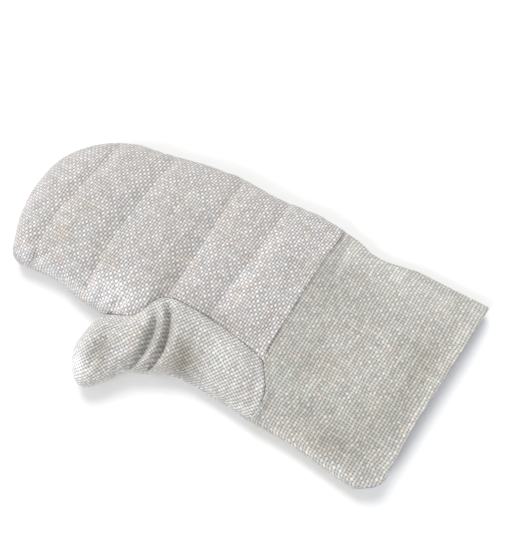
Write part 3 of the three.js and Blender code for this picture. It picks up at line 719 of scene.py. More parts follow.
@dataclass
class Thumb:
    """The thumb piece, from the wrist to its tip, with two deep folds at its bend."""

    rows: int = 131
    top_columns: int = 53
    under_columns: int = 33
    roundness: float = 2.3
    climb: float = 10.0
    outer_way: float = 2.1
    fold_rows_more: float = 0.35
    step_width: float = 7.0
    seam_roll: float = 1.5
    wrist_roll: float = 1.6
    fold_rows: tuple[tuple[float, float, float], ...] = ((7.0, 4.4, 0.26), (9.0, 3.8, 0.34))
    padding: Padding = field(default_factory=lambda: Padding(pressure=40.0, slack=0.01, most=2.2))

    @staticmethod
    def read(column: str, k: Array) -> Array:
        """Returns a column of the thumb's sections at their numbers."""
        return THUMB_SECTIONS.read("i", column, k)

    def plan(self, k: Array, at: Array) -> tuple[Array, Array]:
        """Returns X and Y at a share of the way across a section."""
        x = mix(self.read("cx", k), self.read("ox", k), at) - 4 * self.read("bow", k) * at * (1 - at)
        return x, mix(self.read("cy", k), self.read("oy", k), at)

    @staticmethod
    def first(values: Array, places: Array, missing: float) -> Array:
        """Returns, for each row, the first place where the values are no longer below 0."""
        reached = values >= 0
        i = np.argmax(reached, axis=1)
        some = reached.any(axis=1)
        before = np.maximum(i - 1, 0)
        line = np.arange(len(values))
        low, high = values[line, before], values[line, i]
        share = np.where(i == 0, 0.0, -low / np.maximum(high - low, 1e-9))
        found = mix(places[before], places[i], np.clip(share, 0, 1))
        return np.where(some, found, missing)

    def edges(self) -> dict[str, Array]:
        """Works out where the thumb piece meets the palm, the back and the cuff.

        Returns:
            Shares across at the palm and at the back for section numbers, and section numbers at the wrist
            for shares across.
        """
        numbers = np.linspace(0, THUMB_TIP, 721)
        shares = np.linspace(0, 1, 201)
        x, y = self.plan(numbers[:, None], shares[None, :])
        seam = palm_edge(x) + CLEARANCE / 2
        side = THUMB_EDGE(x) + CLEARANCE / 2
        early = np.linspace(0, 3, 121)
        wx, wy = self.plan(early[None, :], shares[:, None])
        wrist = wx - WRIST_SEAM(wy) - CLEARANCE / 2
        return {
            "numbers": numbers,
            "shares": shares,
            "palm": self.first(y - seam, shares, 1.0),
            "back": self.first(y - side, shares, 1.0),
            "wrist": self.first(wrist, early, 1.0),
        }

    def rows_along(self, fork: float) -> Array:
        """Returns the section numbers of the rows, about as far apart all along, with one at the fork."""
        fine = np.linspace(1.0, THUMB_TIP, 600)
        length = np.zeros(len(fine))
        for share in (0.0, 0.35, 0.7, 1.0):
            x, y = self.plan(fine, np.full(len(fine), share))
            length[1:] += np.hypot(np.diff(x), np.diff(y))
        length[1:] += np.where((fine[1:] > 6) & (fine[1:] < 10), self.fold_rows_more, 0.0)
        along = np.cumsum(length)
        base = np.interp(np.linspace(0, 1, self.rows) * along[-1], along, fine)
        base[np.argmin(np.abs(base - fork))] = fork
        return base

    def laid_across(self, base: Array, edges: dict[str, Array]) -> tuple[Array, ...]:
        """Lays the columns over the top to the outer edge and back underneath.

        Args:
            base: Section numbers of the rows.
            edges: Where the thumb piece meets the palm, the back and the cuff.

        Returns:
            Section numbers, shares across and places in the rounded section, point by point.
        """
        t = np.linspace(0, 1, self.top_columns)
        t = 0.5 * t + 0.25 * (1 - np.cos(np.pi * t))
        u = np.linspace(0, 1, self.under_columns)[1:]
        k = np.repeat(base[:, None], len(t) + len(u), axis=1)
        for _ in range(4):
            ends = []
            for numbers, neighbour in ((k[:, : len(t)], "palm"), (k[:, len(t) :], "back")):
                c = 1 - 2 * np.interp(numbers, edges["numbers"], edges[neighbour])
                ends.append(np.arccos(np.sign(c) * np.abs(c) ** (self.roundness / 2)))
            halves = [mix(ends[0], np.pi, t[None, :]), mix(np.pi, ends[1], u[None, :])]
            turn = np.concatenate(halves, axis=1)
            c = np.cos(turn)
            v = np.sign(c) * np.abs(c) ** (2 / self.roundness)
            at = (1 - v) / 2
            shift = np.interp(at, edges["shares"], edges["wrist"]) - base[0]
            k = base[:, None] + shift * np.clip((4 - base[:, None]) / (4 - base[0]), 0, 1)
        return k, at, v

    def grid(self) -> tuple[Array, Array, Array, int]:
        """Works out the thumb's faces.

        Returns:
            The points of its outer and of its inner face, their section numbers, and the number of rows up
            to the fork.
        """
        edges = self.edges()
        fork = float(edges["numbers"][np.argmax(edges["palm"] <= 0)])
        base = self.rows_along(fork)
        k, at, v = self.laid_across(base, edges)
        x, y = self.plan(k, at)
        w = Form.super_round(v, self.roundness)
        inner, outer = self.read("cz", k), self.read("oz", k)
        edge, middle = mix(inner, outer, at), (inner + outer) / 2
        top = edge + np.maximum(self.read("top", k) - middle, 0) * w
        away = np.abs(y - THUMB_EDGE(x)) / self.climb
        fall = np.maximum(middle - self.read("under", k), 0)
        under = np.maximum(edge - fall * w, SEAM_HEIGHT - CLEARANCE - away * SEAM_HEIGHT)
        is_top = np.arange(x.shape[1])[None, :] < self.top_columns
        z = np.where(is_top, top, under)
        palm = Form.top(x[:, :1], y[:, :1], 0.0, True)
        step = (z[:, :1] - palm) * (1 - smoothstep(fork - 0.8, fork, k[:, :1]))
        step = np.where(k[:, :1] < fork - TINY, step, 0.0)
        z = z - np.where(is_top, step * bell(np.hypot(x - x[:, :1], y - y[:, :1]), self.step_width), 0.0)
        free = base >= fork - TINY
        z[:, -1:] = np.where(free[:, None], z[:, :1], z[:, -1:])
        face = np.stack([x, y, z], axis=-1)
        across = np.hypot(self.read("ox", k) - self.read("cx", k), self.read("oy", k) - self.read("cy", k))
        x, y = self.plan(k, at + np.clip(THUMB_WALL / across, 0, 0.4) * (1 - 2 * at))
        half = np.maximum((top - under) / 2 - THUMB_WALL, 0.2)
        z = (top + under) / 2 + np.where(is_top, half, -half)
        z = np.where(is_top, z, np.maximum(z, THUMB_WALL))
        return face, np.stack([x, y, z], axis=-1), k, int(np.argmax(free))

    def held(self, points: Array, k: Array) -> Array:
        """Returns where the seams and folds hold the cloth."""
        hold = np.zeros(k.shape)
        for number, _, width in self.fold_rows:
            hold = np.maximum(hold, bell(k - number, 2.2 * width))
        from_seam = np.hypot(points[..., 0] - points[:, :1, 0], points[..., 1] - points[:, :1, 1])
        hold = np.maximum(hold, 1 - smoothstep(2.0, 8.0, from_seam))
        from_wrist = points[..., 0] - WRIST_SEAM(points[..., 1])
        hold = np.maximum(hold, 1 - smoothstep(1.0, 7.0, from_wrist))
        hold[:, self.top_columns + 4 :] = 1
        hold[:, self.top_columns - 1] = np.maximum(hold[:, self.top_columns - 1], 0.3)
        hold[-6:] = 1
        hold[:, 0] = hold[:, -1] = 1
        hold[0] = 1
        return np.clip(hold, 0, 1)

    def relief(self, points: Array, k: Array, fork_row: int) -> Array:
        """Returns how far folds, creases and seams lower the thumb's top."""
        x, y = points[..., 0], points[..., 1]
        edge = self.top_columns - 1
        from_seam = np.hypot(x - x[:, :1], y - y[:, :1])
        drop = np.zeros(x.shape)
        outer = np.hypot(x - x[:, [edge]], y - y[:, [edge]])
        for number, depth, width in self.fold_rows:
            reach = smoothstep(3.0, 20.0, from_seam) * smoothstep(0.0, 7.0, outer)
            drop += depth * bell(k - number, width) * reach
        for line in THUMB_CREASES:
            drop += line.drop(x, y)
        sewn = (np.arange(len(x)) < fork_row)[:, None]
        drop += np.where(sewn, roll(from_seam, self.seam_roll), 0.0)
        drop += roll(np.maximum(x - WRIST_SEAM(y), 0), self.wrist_roll)
        drop -= 0.3 * Form.ripple(x, y, 8.0)
        top = (np.arange(x.shape[1]) < self.top_columns)[None, :]
        return np.where(top, drop * np.clip(outer / 5, 0, 1), 0.0)

    def spread(self, points: Array) -> Array:
        """Returns the thumb's cloth laid flat, its underside folded out beyond its outer edge."""
        form = points.copy()
        for _ in range(40):
            form[1:-1] = (form[:-2] + 2 * form[1:-1] + form[2:]) / 4
        top = self.top_columns - 1
        out = np.array([math.cos(self.outer_way), math.sin(self.outer_way)])
        over = outward(form[:, : top + 1], Side.ABOVE)
        size = np.linalg.norm(over, axis=-1, keepdims=True)
        way = over / np.maximum(size, 1e-6)
        way = mix(way, out, 0.85 * smoothstep(0.0, 0.6, way @ out)[..., None])
        over = size * way / np.maximum(np.linalg.norm(way, axis=-1, keepdims=True), 1e-6)
        beneath = outward(form[:, top:], Side.BELOW) @ out
        edge = form[:, top : top + 1, :2]
        reach = np.linalg.norm(form[:, top:, :2] - edge, axis=-1) + beneath[:, :1] - beneath
        folded = points[:, top : top + 1, :2] + over[:, -1:] + reach[..., None] * out
        return np.concatenate([points[:, : top + 1, :2] + over, folded[:, 1:]], axis=1)

    def build(self, finish: bpy.types.Material) -> bpy.types.Object:
        """Returns the finished thumb piece."""
        points, inside, k, fork_row = self.grid()
        points = points + self.padding.moves("thumb", points, self.held(points, k))
        top = self.top_columns - 1
        outer = Skin(points, turned(self.spread(points), THUMB_TURN))
        points[..., 2] = np.maximum(points[..., 2] - self.relief(points, k, fork_row), 0)
        lowered = np.minimum(inside[:, :top, 2], points[:, :top, 2] - THUMB_WALL / 2)
        inside[:, :top, 2] = np.maximum(lowered, inside[:, :top, 2] - 6)
        inside[fork_row:, -1] = inside[fork_row:, 0]
        piece = two_faced("thumb_piece", outer, Skin.laid(inside, THUMB_TURN), fork_row)
        finished(piece, ["thumb"], "hand_cloth", finish)
        return piece


@dataclass
class Sleeve:
    """A flat tube of cloth round the wrist: the cuff, or the lining inside it."""

    name: str
    node: str
    slot: str
    outside: float
    inside: float
    mouth_inset: float
    flat: tuple[float, float]
    rows: int = 56
    half_columns: int = 70
    lip_rows: int = 5

    def ring(self, station: Array, inset: float) -> Array:
        """Returns rings of points over the top towards the thumb and back underneath."""
        shift = self.mouth_inset * (1 - station)
        near, far = Form.ends(station, inset, shift)
        share = clustered(self.half_columns + 1, 0, 1)[None, :]
        y_top = mix(near, far, share)
        x_top = Form.station_x(station, y_top, CROSS_LINES) + shift
        y_low = mix(far, near, share[:, 1:-1])
        x_low = Form.station_x(station, y_low, UNDERSIDE_LINES) + shift
        top = np.stack([x_top, y_top, Form.top(x_top, y_top, inset, False)], axis=-1)
        low = np.stack([x_low, y_low, Form.under(x_low, y_low, inset)], axis=-1)
        top[..., 2] += self.relief(x_top, y_top, top[..., 2])
        return np.concatenate([top, low], axis=1)

    def relief(self, x: Array, y: Array, z: Array) -> Array:
        """Returns how far soft waves, the seam and its folded edge raise the top."""
        from_wrist = WRIST_SEAM(y) - x
        waves = 0.7 * Form.ripple(x, y, 22.0) + 0.25 * Form.ripple(y, x, 9.0)
        raised = waves * smoothstep(0, 14, from_wrist) + 0.8 * bell(from_wrist, 4.0)
        if self.outside == 0:
            fold = smoothstep(34, 42, y) * 1.7 * bell(from_wrist - 2.2, 1.7)
            hem = 0.5 * smoothstep(9.0, 7.5, x - HEM(y))
            raised = raised + fold + hem
        fall, reach = CUFF_SLOPE
        raised -= fall * smoothstep(reach, 0.0, y - LITTLE_EDGE(x))
        for crease in CUFF_CREASES:
            raised -= crease.drop(x, y)
        return raised * np.clip((z - SEAM_HEIGHT) / 5, 0, 1)

    def build(self, finish: bpy.types.Material) -> bpy.types.Object:
        """Returns the finished tube, its wall closed at both ends."""
        t = np.linspace(0, 1, self.rows)
        station = (0.9985 * (1 - t**1.2))[:, None]
        station[-1] = 0
        outer = self.ring(station, self.outside)
        inner = self.ring(station[::-1], self.inside)
        lip = []
        for step in range(1, self.lip_rows + 1):
            turn = math.pi * step / (self.lip_rows + 1)
            edge = mix(outer[-1], inner[0], (1 - math.cos(turn)) / 2)
            edge[..., 0] -= (self.inside - self.outside) / 2 * math.sin(turn)
            lip.append(edge)
        points = np.concatenate([outer, np.array(lip), inner])
        rows, columns = points.shape[:2]
        last = (rows - 1) * columns
        wrapped = [(j, (j + 1) % columns) for j in range(columns)]
        faces = quads(rows, columns, closed=True) + [(a, b, last + b, last + a) for a, b in wrapped]
        half = self.half_columns
        plan = Skin.laid(points[:, : half + 1]).cloth
        under = Skin.laid(points[:, half:]).cloth[:, 1:]
        cloth = np.concatenate([plan, under], axis=1)
        inward = np.zeros((rows, columns))
        inward[len(outer) + self.lip_rows // 2 + 1 :] = 1
        piece = cloth_object(self.name, [points], [cloth], [inward], faces)
        finished(piece, [self.node], self.slot, finish)
        return piece


@dataclass(frozen=True)
class Crease:
    """A soft crease along a line seen from above."""

    line: tuple[tuple[float, float], ...]
    depth: float
    width: float

    def drop(self, x: Array, y: Array) -> Array:
        """Returns how far the crease lowers the cloth, less towards its ends."""
        best = np.full(x.shape, 1e9)
        place = np.zeros(x.shape)
        count = len(self.line) - 1
        for i in range(count):
            (ax, ay), (bx, by) = self.line[i], self.line[i + 1]
            dx, dy = bx - ax, by - ay
            t = np.clip(((x - ax) * dx + (y - ay) * dy) / (dx * dx + dy * dy), 0, 1)
            away = np.hypot(x - ax - t * dx, y - ay - t * dy)
            nearer = away < best
            best = np.where(nearer, away, best)
            place = np.where(nearer, (i + t) / count, place)
        taper = np.sin(np.pi * np.clip(place, 0, 1)) ** 0.6
        return self.depth * bell(best, self.width) * taper


PALM_CREASES = (
    Crease(((60.5, 54), (60, 48.1), (58, 42), (55, 36)), 2.5, 2),
    Crease(((66.5, 54), (66, 47), (63.5, 40)), -1, 2.6),
    Crease(((73.5, 54.5), (74, 48), (73.5, 42)), 1.1, 2.2),
    Crease(((137.5, 57.5), (136.5, 51), (134, 44)), 2, 1.7),
    Crease(((143, 56), (141.5, 49), (139, 43)), -0.9, 2.2),
    Crease(((131, 56), (130, 50), (128, 43)), -0.9, 2.4),
    Crease(((122, 55), (121, 49), (119.5, 44)), 0.9, 1.8),
    Crease(((86.5, 55), (87, 47), (87.8, 40)), 0.9, 2.2),
)
THUMB_CREASES = (
    Crease(((46, 52), (50, 64), (50.5, 74), (49.5, 86), (48.5, 97)), 2.6, 3.6),
    Crease(((46.6, 90), (48, 95.4), (48.6, 103)), 1.3, 1.3),
    Crease(((36.9, 30), (39.5, 44), (41.5, 58), (42.5, 72), (44, 90)), -1.6, 3.4),
    Crease(((32.5, 34), (33.6, 44), (33.4, 56), (34, 72)), 0.8, 1.8),
    Crease(((14, 28), (8.5, 40), (4, 52), (2.5, 66)), -2.8, 5),
    Crease(((-2, 26), (-6, 38), (-9.5, 50), (-12, 62)), 3.6, 6),
    Crease(((-22, 18), (-30, 32), (-38, 46), (-44, 58)), -1.6, 10),
)
THUMB_TURN = -28.0
# Patches of painted shade and painted highlight, partly soil: X, Y, half-lengths along X and Y, and share,
# paler below 0
PAINTED_LIGHT_AND_SOIL_PATCHES = Table(("x", "y", "along", "across", "share"), (
    (-9, 54, 12, 18, 0.40), (16, 48, 9, 20, 0.12), (24, 56, 6, 18, 0.16), (37, 66, 4, 22, -0.16),
    (49, 81, 10, 12, 0.38), (57, 101, 12, 9, -0.46), (67, 86, 6, 14, -0.22), (-34, 34, 12, 18, -0.10),
    (66, 41, 20, 14, -0.26), (98, 53, 28, 6, -0.24), (130, 51, 14, 5, -0.24),
    (136.5, 50, 1.8, 5, 0.26), (147, 50, 7, 7, -0.16), (41, -12, 7, 42, 0.12), (36, 4, 10, 12, 0.10),
    (-4, 12, 34, 6, 0.13), (98, -5, 7, 40, 0.07), (60, -20, 18, 40, 0.06), (122, -8, 34, 42, 0.06),
    (-14, -40, 5, 30, -0.10), (12, -42, 9, 36, 0.05), (-160, -14, 16, 60, 0.16),
    (-120, 40, 30, 16, 0.10), (-137, 42, 14, 12, 0.12), (-74, -52, 18, 22, 0.08),
    (-80, 6, 14, 24, 0.07), (-105, -94, 50, 14, -0.20), (-172, -20, 4.5, 80, -0.26),
    (-125, 61, 48, 5, -0.26), (-67, -88, 8, 14, -0.12),
))
# How strongly the patches of painted shade, painted highlight and soil darken red, green and blue
PAINTED_LIGHT_AND_SOIL_TINT = (1.0, 1.03, 1.14)
# How far the cuff's top falls towards the little finger, and over what width
CUFF_SLOPE = (2.4, 30.0)
CUFF_CREASES = (
    Crease(((-61, -96), (-63.5, -84), (-65.5, -72), (-68, -60)), 1, 2),
    Crease(((-66, -97), (-69.5, -82), (-73, -68)), -0.8, 3.4),
    Crease(((-92, 20), (-110, 34), (-132, 44), (-150, 50)), 1.6, 7),
    Crease(((-100, 46), (-118, 52), (-140, 58)), -0.9, 4),
    Crease(((-70, -30), (-84, -22), (-96, -6), (-104, 12)), 1.3, 9),
)


def operator(operation: str, swapped: bool = False) -> Callable[["Wire", "Number"], "Wire"]:
    """Makes an operator of Wire.

    Args:
        operation: What the Math node does.
        swapped: Whether the other number comes first.

    Returns:
        The method.
    """

    def method(wire: "Wire", other: "Number") -> "Wire":
        """Returns the result of the Math node."""
        return wire.tree.math(operation, *((other, wire) if swapped else (wire, other)))

    return method


class Wire:
    """A number in a material's tree, written in sums like a plain one."""

    __add__, __radd__ = operator("ADD"), operator("ADD", swapped=True)
    __sub__, __rsub__ = operator("SUBTRACT"), operator("SUBTRACT", swapped=True)
    __mul__, __rmul__ = operator("MULTIPLY"), operator("MULTIPLY", swapped=True)
    __truediv__ = operator("DIVIDE")

    def __init__(self, tree: "Tree", socket: Socket) -> None:
        """Keeps the tree and the socket that the number comes from."""
        self.tree = tree
        self.socket = socket

    def __neg__(self) -> "Wire":
        """Turns the sign."""
        return self * -1.0

    def math(self, operation: str, *others: "Number") -> "Wire":
        """Returns the result of a Math node on this number and others."""
        return self.tree.math(operation, self, *others)


Number = Union[Wire, float]
Inputs = dict[Union[str, int], Any]
Colour = tuple[float, float, float]


def paint(colour: Colour) -> tuple[float, float, float, float]:
    """Returns a colour given as it looks on a screen, from 0 to 255, as light."""
    linear = [((c / 255 + 0.055) / 1.055) ** 2.4 if c > 10 else c / 255 / 12.92 for c in colour]
    return (*linear, 1.0)


class Tree:
    """The nodes of a material or of Geometry Nodes."""

    def __init__(self, group: bpy.types.NodeTree) -> None:
        """Takes over a tree and empties it."""
        self.nodes = group.nodes
        self.links = group.links
        self.nodes.clear()

    @classmethod
    def shading(cls, name: str) -> tuple["Tree", bpy.types.Material]:
        """Returns the empty tree of a new material, and the material."""
        material = bpy.data.materials.new(name)
        material.use_nodes = True
        return cls(material.node_tree), material

    def add(self, kind: str, inputs: Union[Inputs, None] = None, **settings: Any) -> bpy.types.Node:
        """Adds a node.

        Args:
            kind: The node's type.
            inputs: Values or links of its sockets, by name or number.
            settings: Its properties, set first.

        Returns:
            The node.
        """
        node = self.nodes.new(kind)
        for name, value in settings.items():
            setattr(node, name, value)
        for name, value in (inputs or {}).items():
            if isinstance(value, Wire):
                value = value.socket
            if isinstance(value, Socket):
                self.links.new(value, node.inputs[name])
            else:
                node.inputs[name].default_value = value
        return node

    def number(self, kind: str, inputs: Inputs, **settings: Any) -> Wire:
        """Returns the first result of a new node."""
        return Wire(self, self.add(kind, inputs, **settings).outputs[0])

    def math(self, operation: str, *values: Number) -> Wire:
        """Returns the result of one Math node."""
        return self.number("ShaderNodeMath", dict(enumerate(values)), operation=operation)

    def between(self, low: float, high: float, value: Number) -> Wire:
        """Returns a smooth rise from 0 to 1."""
        ends = {0: value, 1: low, 2: high, 3: 0.0, 4: 1.0}
        return self.number("ShaderNodeMapRange", ends, interpolation_type="SMOOTHSTEP")

    def blend(self, share: Number, first: Any, second: Any, way: str = "MIX") -> Socket:
        """Returns a colour between two, or their product."""
        ends = {0: share, 6: first, 7: second}
        return self.add("ShaderNodeMix", ends, data_type="RGBA", blend_type=way).outputs[2]

    def noise(self, place: Any, scale: float, detail: float) -> Wire:
        """Returns a soft noise between 0 and 1."""
        return self.number("ShaderNodeTexNoise", {"Vector": place, "Scale": scale, "Detail": detail})

    def vector(self, x: Number, y: Number, z: Number) -> Socket:
        """Returns three numbers as a vector."""
        return self.add("ShaderNodeCombineXYZ", {0: x, 1: y, 2: z}).outputs[0]

    def chance(self, x: Number, y: Number, z: Number) -> Wire:
        """Returns a different number between 0 and 1 for each whole place."""
        return self.number("ShaderNodeTexWhiteNoise", {0: self.vector(x, y, z)}, noise_dimensions="3D")

    def read(self, attribute: str, kind: str) -> Socket:
        """Returns a mesh's attribute as a vector or a factor."""
        return self.add("ShaderNodeAttribute", attribute_name=attribute).outputs[kind]

    def body(self) -> Socket:
        """Returns the place on the object, in metres."""
        return self.add("ShaderNodeTexCoord").outputs["Object"]

    def bump(self, height: Number, distance: float, strength: float) -> Socket:
        """Returns normals that follow a height, whose relief is given in millimetres."""
        inputs = {"Strength": strength, "Distance": distance * MM, "Height": height}
        return self.add("ShaderNodeBump", inputs).outputs[0]

    def surface(self, inputs: Inputs) -> None:
        """Ends a material's tree with its shader."""
        shader = self.add("ShaderNodeBsdfPrincipled", inputs)
        self.add("ShaderNodeOutputMaterial", {0: shader.outputs[0]})


@dataclass(frozen=True)
class WovenCloth:
    """A coarse plain weave of two yarns that pass over and under each other."""

    name: str
    pitch_along: float
    pitch_across: float
    warp: Colour
    weft: Colour
    # Painted shade: the colour of the hollows between the yarns
    hollow_shade: Colour
    inner: Colour
    crimp: float = 0.5
    warp_bulk: float = 0.52
    weft_bulk: float = 0.48
    dot_edge: float = 0.75
    # Painted shade towards each yarn's edges, along and across, with painted highlight along its middle
    yarn_shade_along: float = 0.2
    yarn_shade_across: float = 0.24
    hollow_reach: float = 0.85
    relief: float = 0.55
    uneven: float = 0.09
    spot_share: float = 3.2
    yarn_share: float = 0.4
    wander: float = 2.6
    wander_scale: float = 0.06
    fat: float = 0.16
    fat_run: float = 0.08
    strand_scales: tuple[float, float] = (5.5, 1.1)
    strand_light: float = 0.36
    strand_height: float = 0.35
    fluff_scale: float = 900.0
    tint: float = 0.3
    tint_scale: float = 110.0
    warm: Colour = (208, 192, 178)
    cool: Colour = (190, 198, 192)
    stain: Colour = (182, 174, 158)
    stain_share: float = 0.35
    stain_scales: tuple[float, float] = (26.0, 95.0)
    roughness: float = 0.92
    fuzz: float = 0.35

    def material(self) -> bpy.types.Material:
        """Returns the cloth's material, which follows "cloth", in millimetres, and the painted shade,
        painted highlight and soil of the mesh.
        """
        tree, material = Tree.shading(self.name)
        apart = tree.add("ShaderNodeSeparateXYZ", {0: tree.read("cloth", "Vector")})
        flat_u, flat_v, layer = (Wire(tree, output) for output in apart.outputs)
        wander_u = tree.noise(tree.vector(flat_u, flat_v, 0.0), self.wander_scale, 1.0) - 0.5
        wander_v = tree.noise(tree.vector(flat_v, flat_u, 7.3), self.wander_scale, 1.0) - 0.5
        u = (flat_u + wander_u * self.wander) / self.pitch_along
        v = (flat_v + wander_v * self.wander) / self.pitch_across
        i, j = u.math("FLOOR"), v.math("FLOOR")
        fu, fv = u - i - 0.5, v - j - 0.5
        parity = i + j
        over = ((fv + parity) * math.pi).math("COSINE")
        beneath = ((fu + parity) * math.pi).math("COSINE")
        fat_i = tree.chance(i, 3.0, (v * self.fat_run).math("FLOOR"))
        fat_j = tree.chance(11.0, j, (u * self.fat_run).math("FLOOR"))
        spot = tree.chance(i, j, 5.0)
        warp_high = self.crimp * over + (1 - 4 * fu * fu) * (self.fat * fat_i + self.warp_bulk)
        weft_high = -self.crimp * beneath + (1 - 4 * fv * fv) * (self.fat * fat_j + self.weft_bulk)
        high = warp_high.math("MAXIMUM", weft_high)
        is_warp = tree.between(-0.08, self.dot_edge, warp_high - weft_high)
        fine, coarse = self.strand_scales
        strands_u = tree.noise(tree.vector(flat_u * fine, flat_v * coarse, 0.0), 1.0, 3.0)
        strands_v = tree.noise(tree.vector(flat_u * coarse, flat_v * fine, 4.0), 1.0, 3.0)
        strands = strands_v + (strands_u - strands_v) * is_warp
        body = tree.body()
        yarn = self.stained(tree, body, tree.blend(is_warp, paint(self.weft), paint(self.warp)))
        # Painted shade: darker towards the hollows between the yarns, where the weave lies low
        depth = tree.between(0.0, self.hollow_reach, high)
        colour = tree.blend(depth, paint(self.hollow_shade), yarn)
        light = 1 + (strands - 0.5) * self.strand_light + (spot - 0.5) * self.uneven * self.spot_share
        light = light + (fat_i + fat_j - 1) * self.uneven * self.yarn_share
        # Painted shade towards each yarn's edges and painted highlight along its middle
        painted_yarn_shade = self.yarn_shade_along * (4 * fu * fu - 0.33) + self.yarn_shade_across * (4 * fv * fv - 0.33)
        light = light * (1 - painted_yarn_shade)
        # Painted shade and painted highlight, partly soil, darken or lighten the colour, warmer where
        # darker
        painted_light_and_soil = Wire(tree, tree.read("painted_light_and_soil", "Fac"))
        shade = {channel: light * (1 - painted_light_and_soil * tone) for channel, tone in enumerate(PAINTED_LIGHT_AND_SOIL_TINT)}
        shaded = tree.blend(1.0, colour, tree.add("ShaderNodeCombineColor", shade).outputs[0], "MULTIPLY")
        # The inner face, darker in the hollows between its yarns as painted shade
        within = tree.blend(depth * 0.6 + 0.4, paint(self.hollow_shade), paint(self.inner))
        fluff = tree.noise(body, self.fluff_scale, 2.0)
        height = high + (strands - 0.5) * self.strand_height + fluff * 0.12
        tree.surface({
            "Base Color": tree.blend(tree.between(0.4, 0.6, layer), shaded, within),
            "Roughness": self.roughness,
            "Specular IOR Level": 0.2,
            "Sheen Weight": self.fuzz,
            "Sheen Roughness": 0.6,
            "Normal": tree.bump(height, self.relief, 1.0),
        })
        return material

    def stained(self, tree: Tree, body: Socket, yarn: Socket) -> Socket:
        """Lays soft stains and warmer and cooler patches over the yarns.

        Args:
            tree: The material's tree.
            body: Place on the object.
            yarn: Colour of the clean yarns.

        Returns:
            The colour of the used yarns.
        """
        large, small = self.stain_scales
        patches = tree.between(0.5, 0.78, tree.noise(body, large, 3.0))
        specks = tree.between(0.5, 0.8, tree.noise(body, small, 2.0))
        warmth = tree.noise(body, self.tint_scale, 1.0)
        yarn = tree.blend(patches * self.stain_share, yarn, paint(self.stain))
        yarn = tree.blend(specks * self.stain_share * 0.8, yarn, paint(self.stain))
        yarn = tree.blend(tree.between(0.45, 0.8, warmth) * self.tint, yarn, paint(self.warm))
        return tree.blend(tree.between(0.55, 0.2, warmth) * self.tint, yarn, paint(self.cool))


@dataclass(frozen=True)
class Thread:
    """Sewing thread, twisted and speckled a little darker."""

    name: str
    colour: Colour
    dark: float = 0.82

    def material(self) -> bpy.types.Material:
        """Returns the thread's material."""
        tree, material = Tree.shading(self.name)
        speck = tree.noise(tree.body(), 2200.0, 2.0)
        dark = tuple(c * self.dark for c in self.colour)
        colour = tree.blend(tree.between(0.35, 0.65, speck), paint(dark), paint(self.colour))
        tree.surface({"Base Color": colour, "Roughness": 0.8, "Normal": tree.bump(speck, 0.1, 0.6)})
        return material


@dataclass(frozen=True)
class PaleFloor:
    """The plain pale floor that the mitten lies on."""

    name: str = "pale_floor"
    colour: Colour = (228, 228, 228)
    glow: float = 0.08

    def material(self) -> bpy.types.Material:
        """Returns the floor's material."""
        tree, material = Tree.shading(self.name)
        soft = tuple(c - 2 for c in self.colour)
        colour = tree.blend(tree.noise(tree.body(), 40.0, 2.0), paint(soft), paint(self.colour))
        tree.surface({
            "Base Color": colour,
            "Roughness": 0.95,
            "Emission Color": (1, 1, 1, 1),
            "Emission Strength": self.glow,
        })
        return material


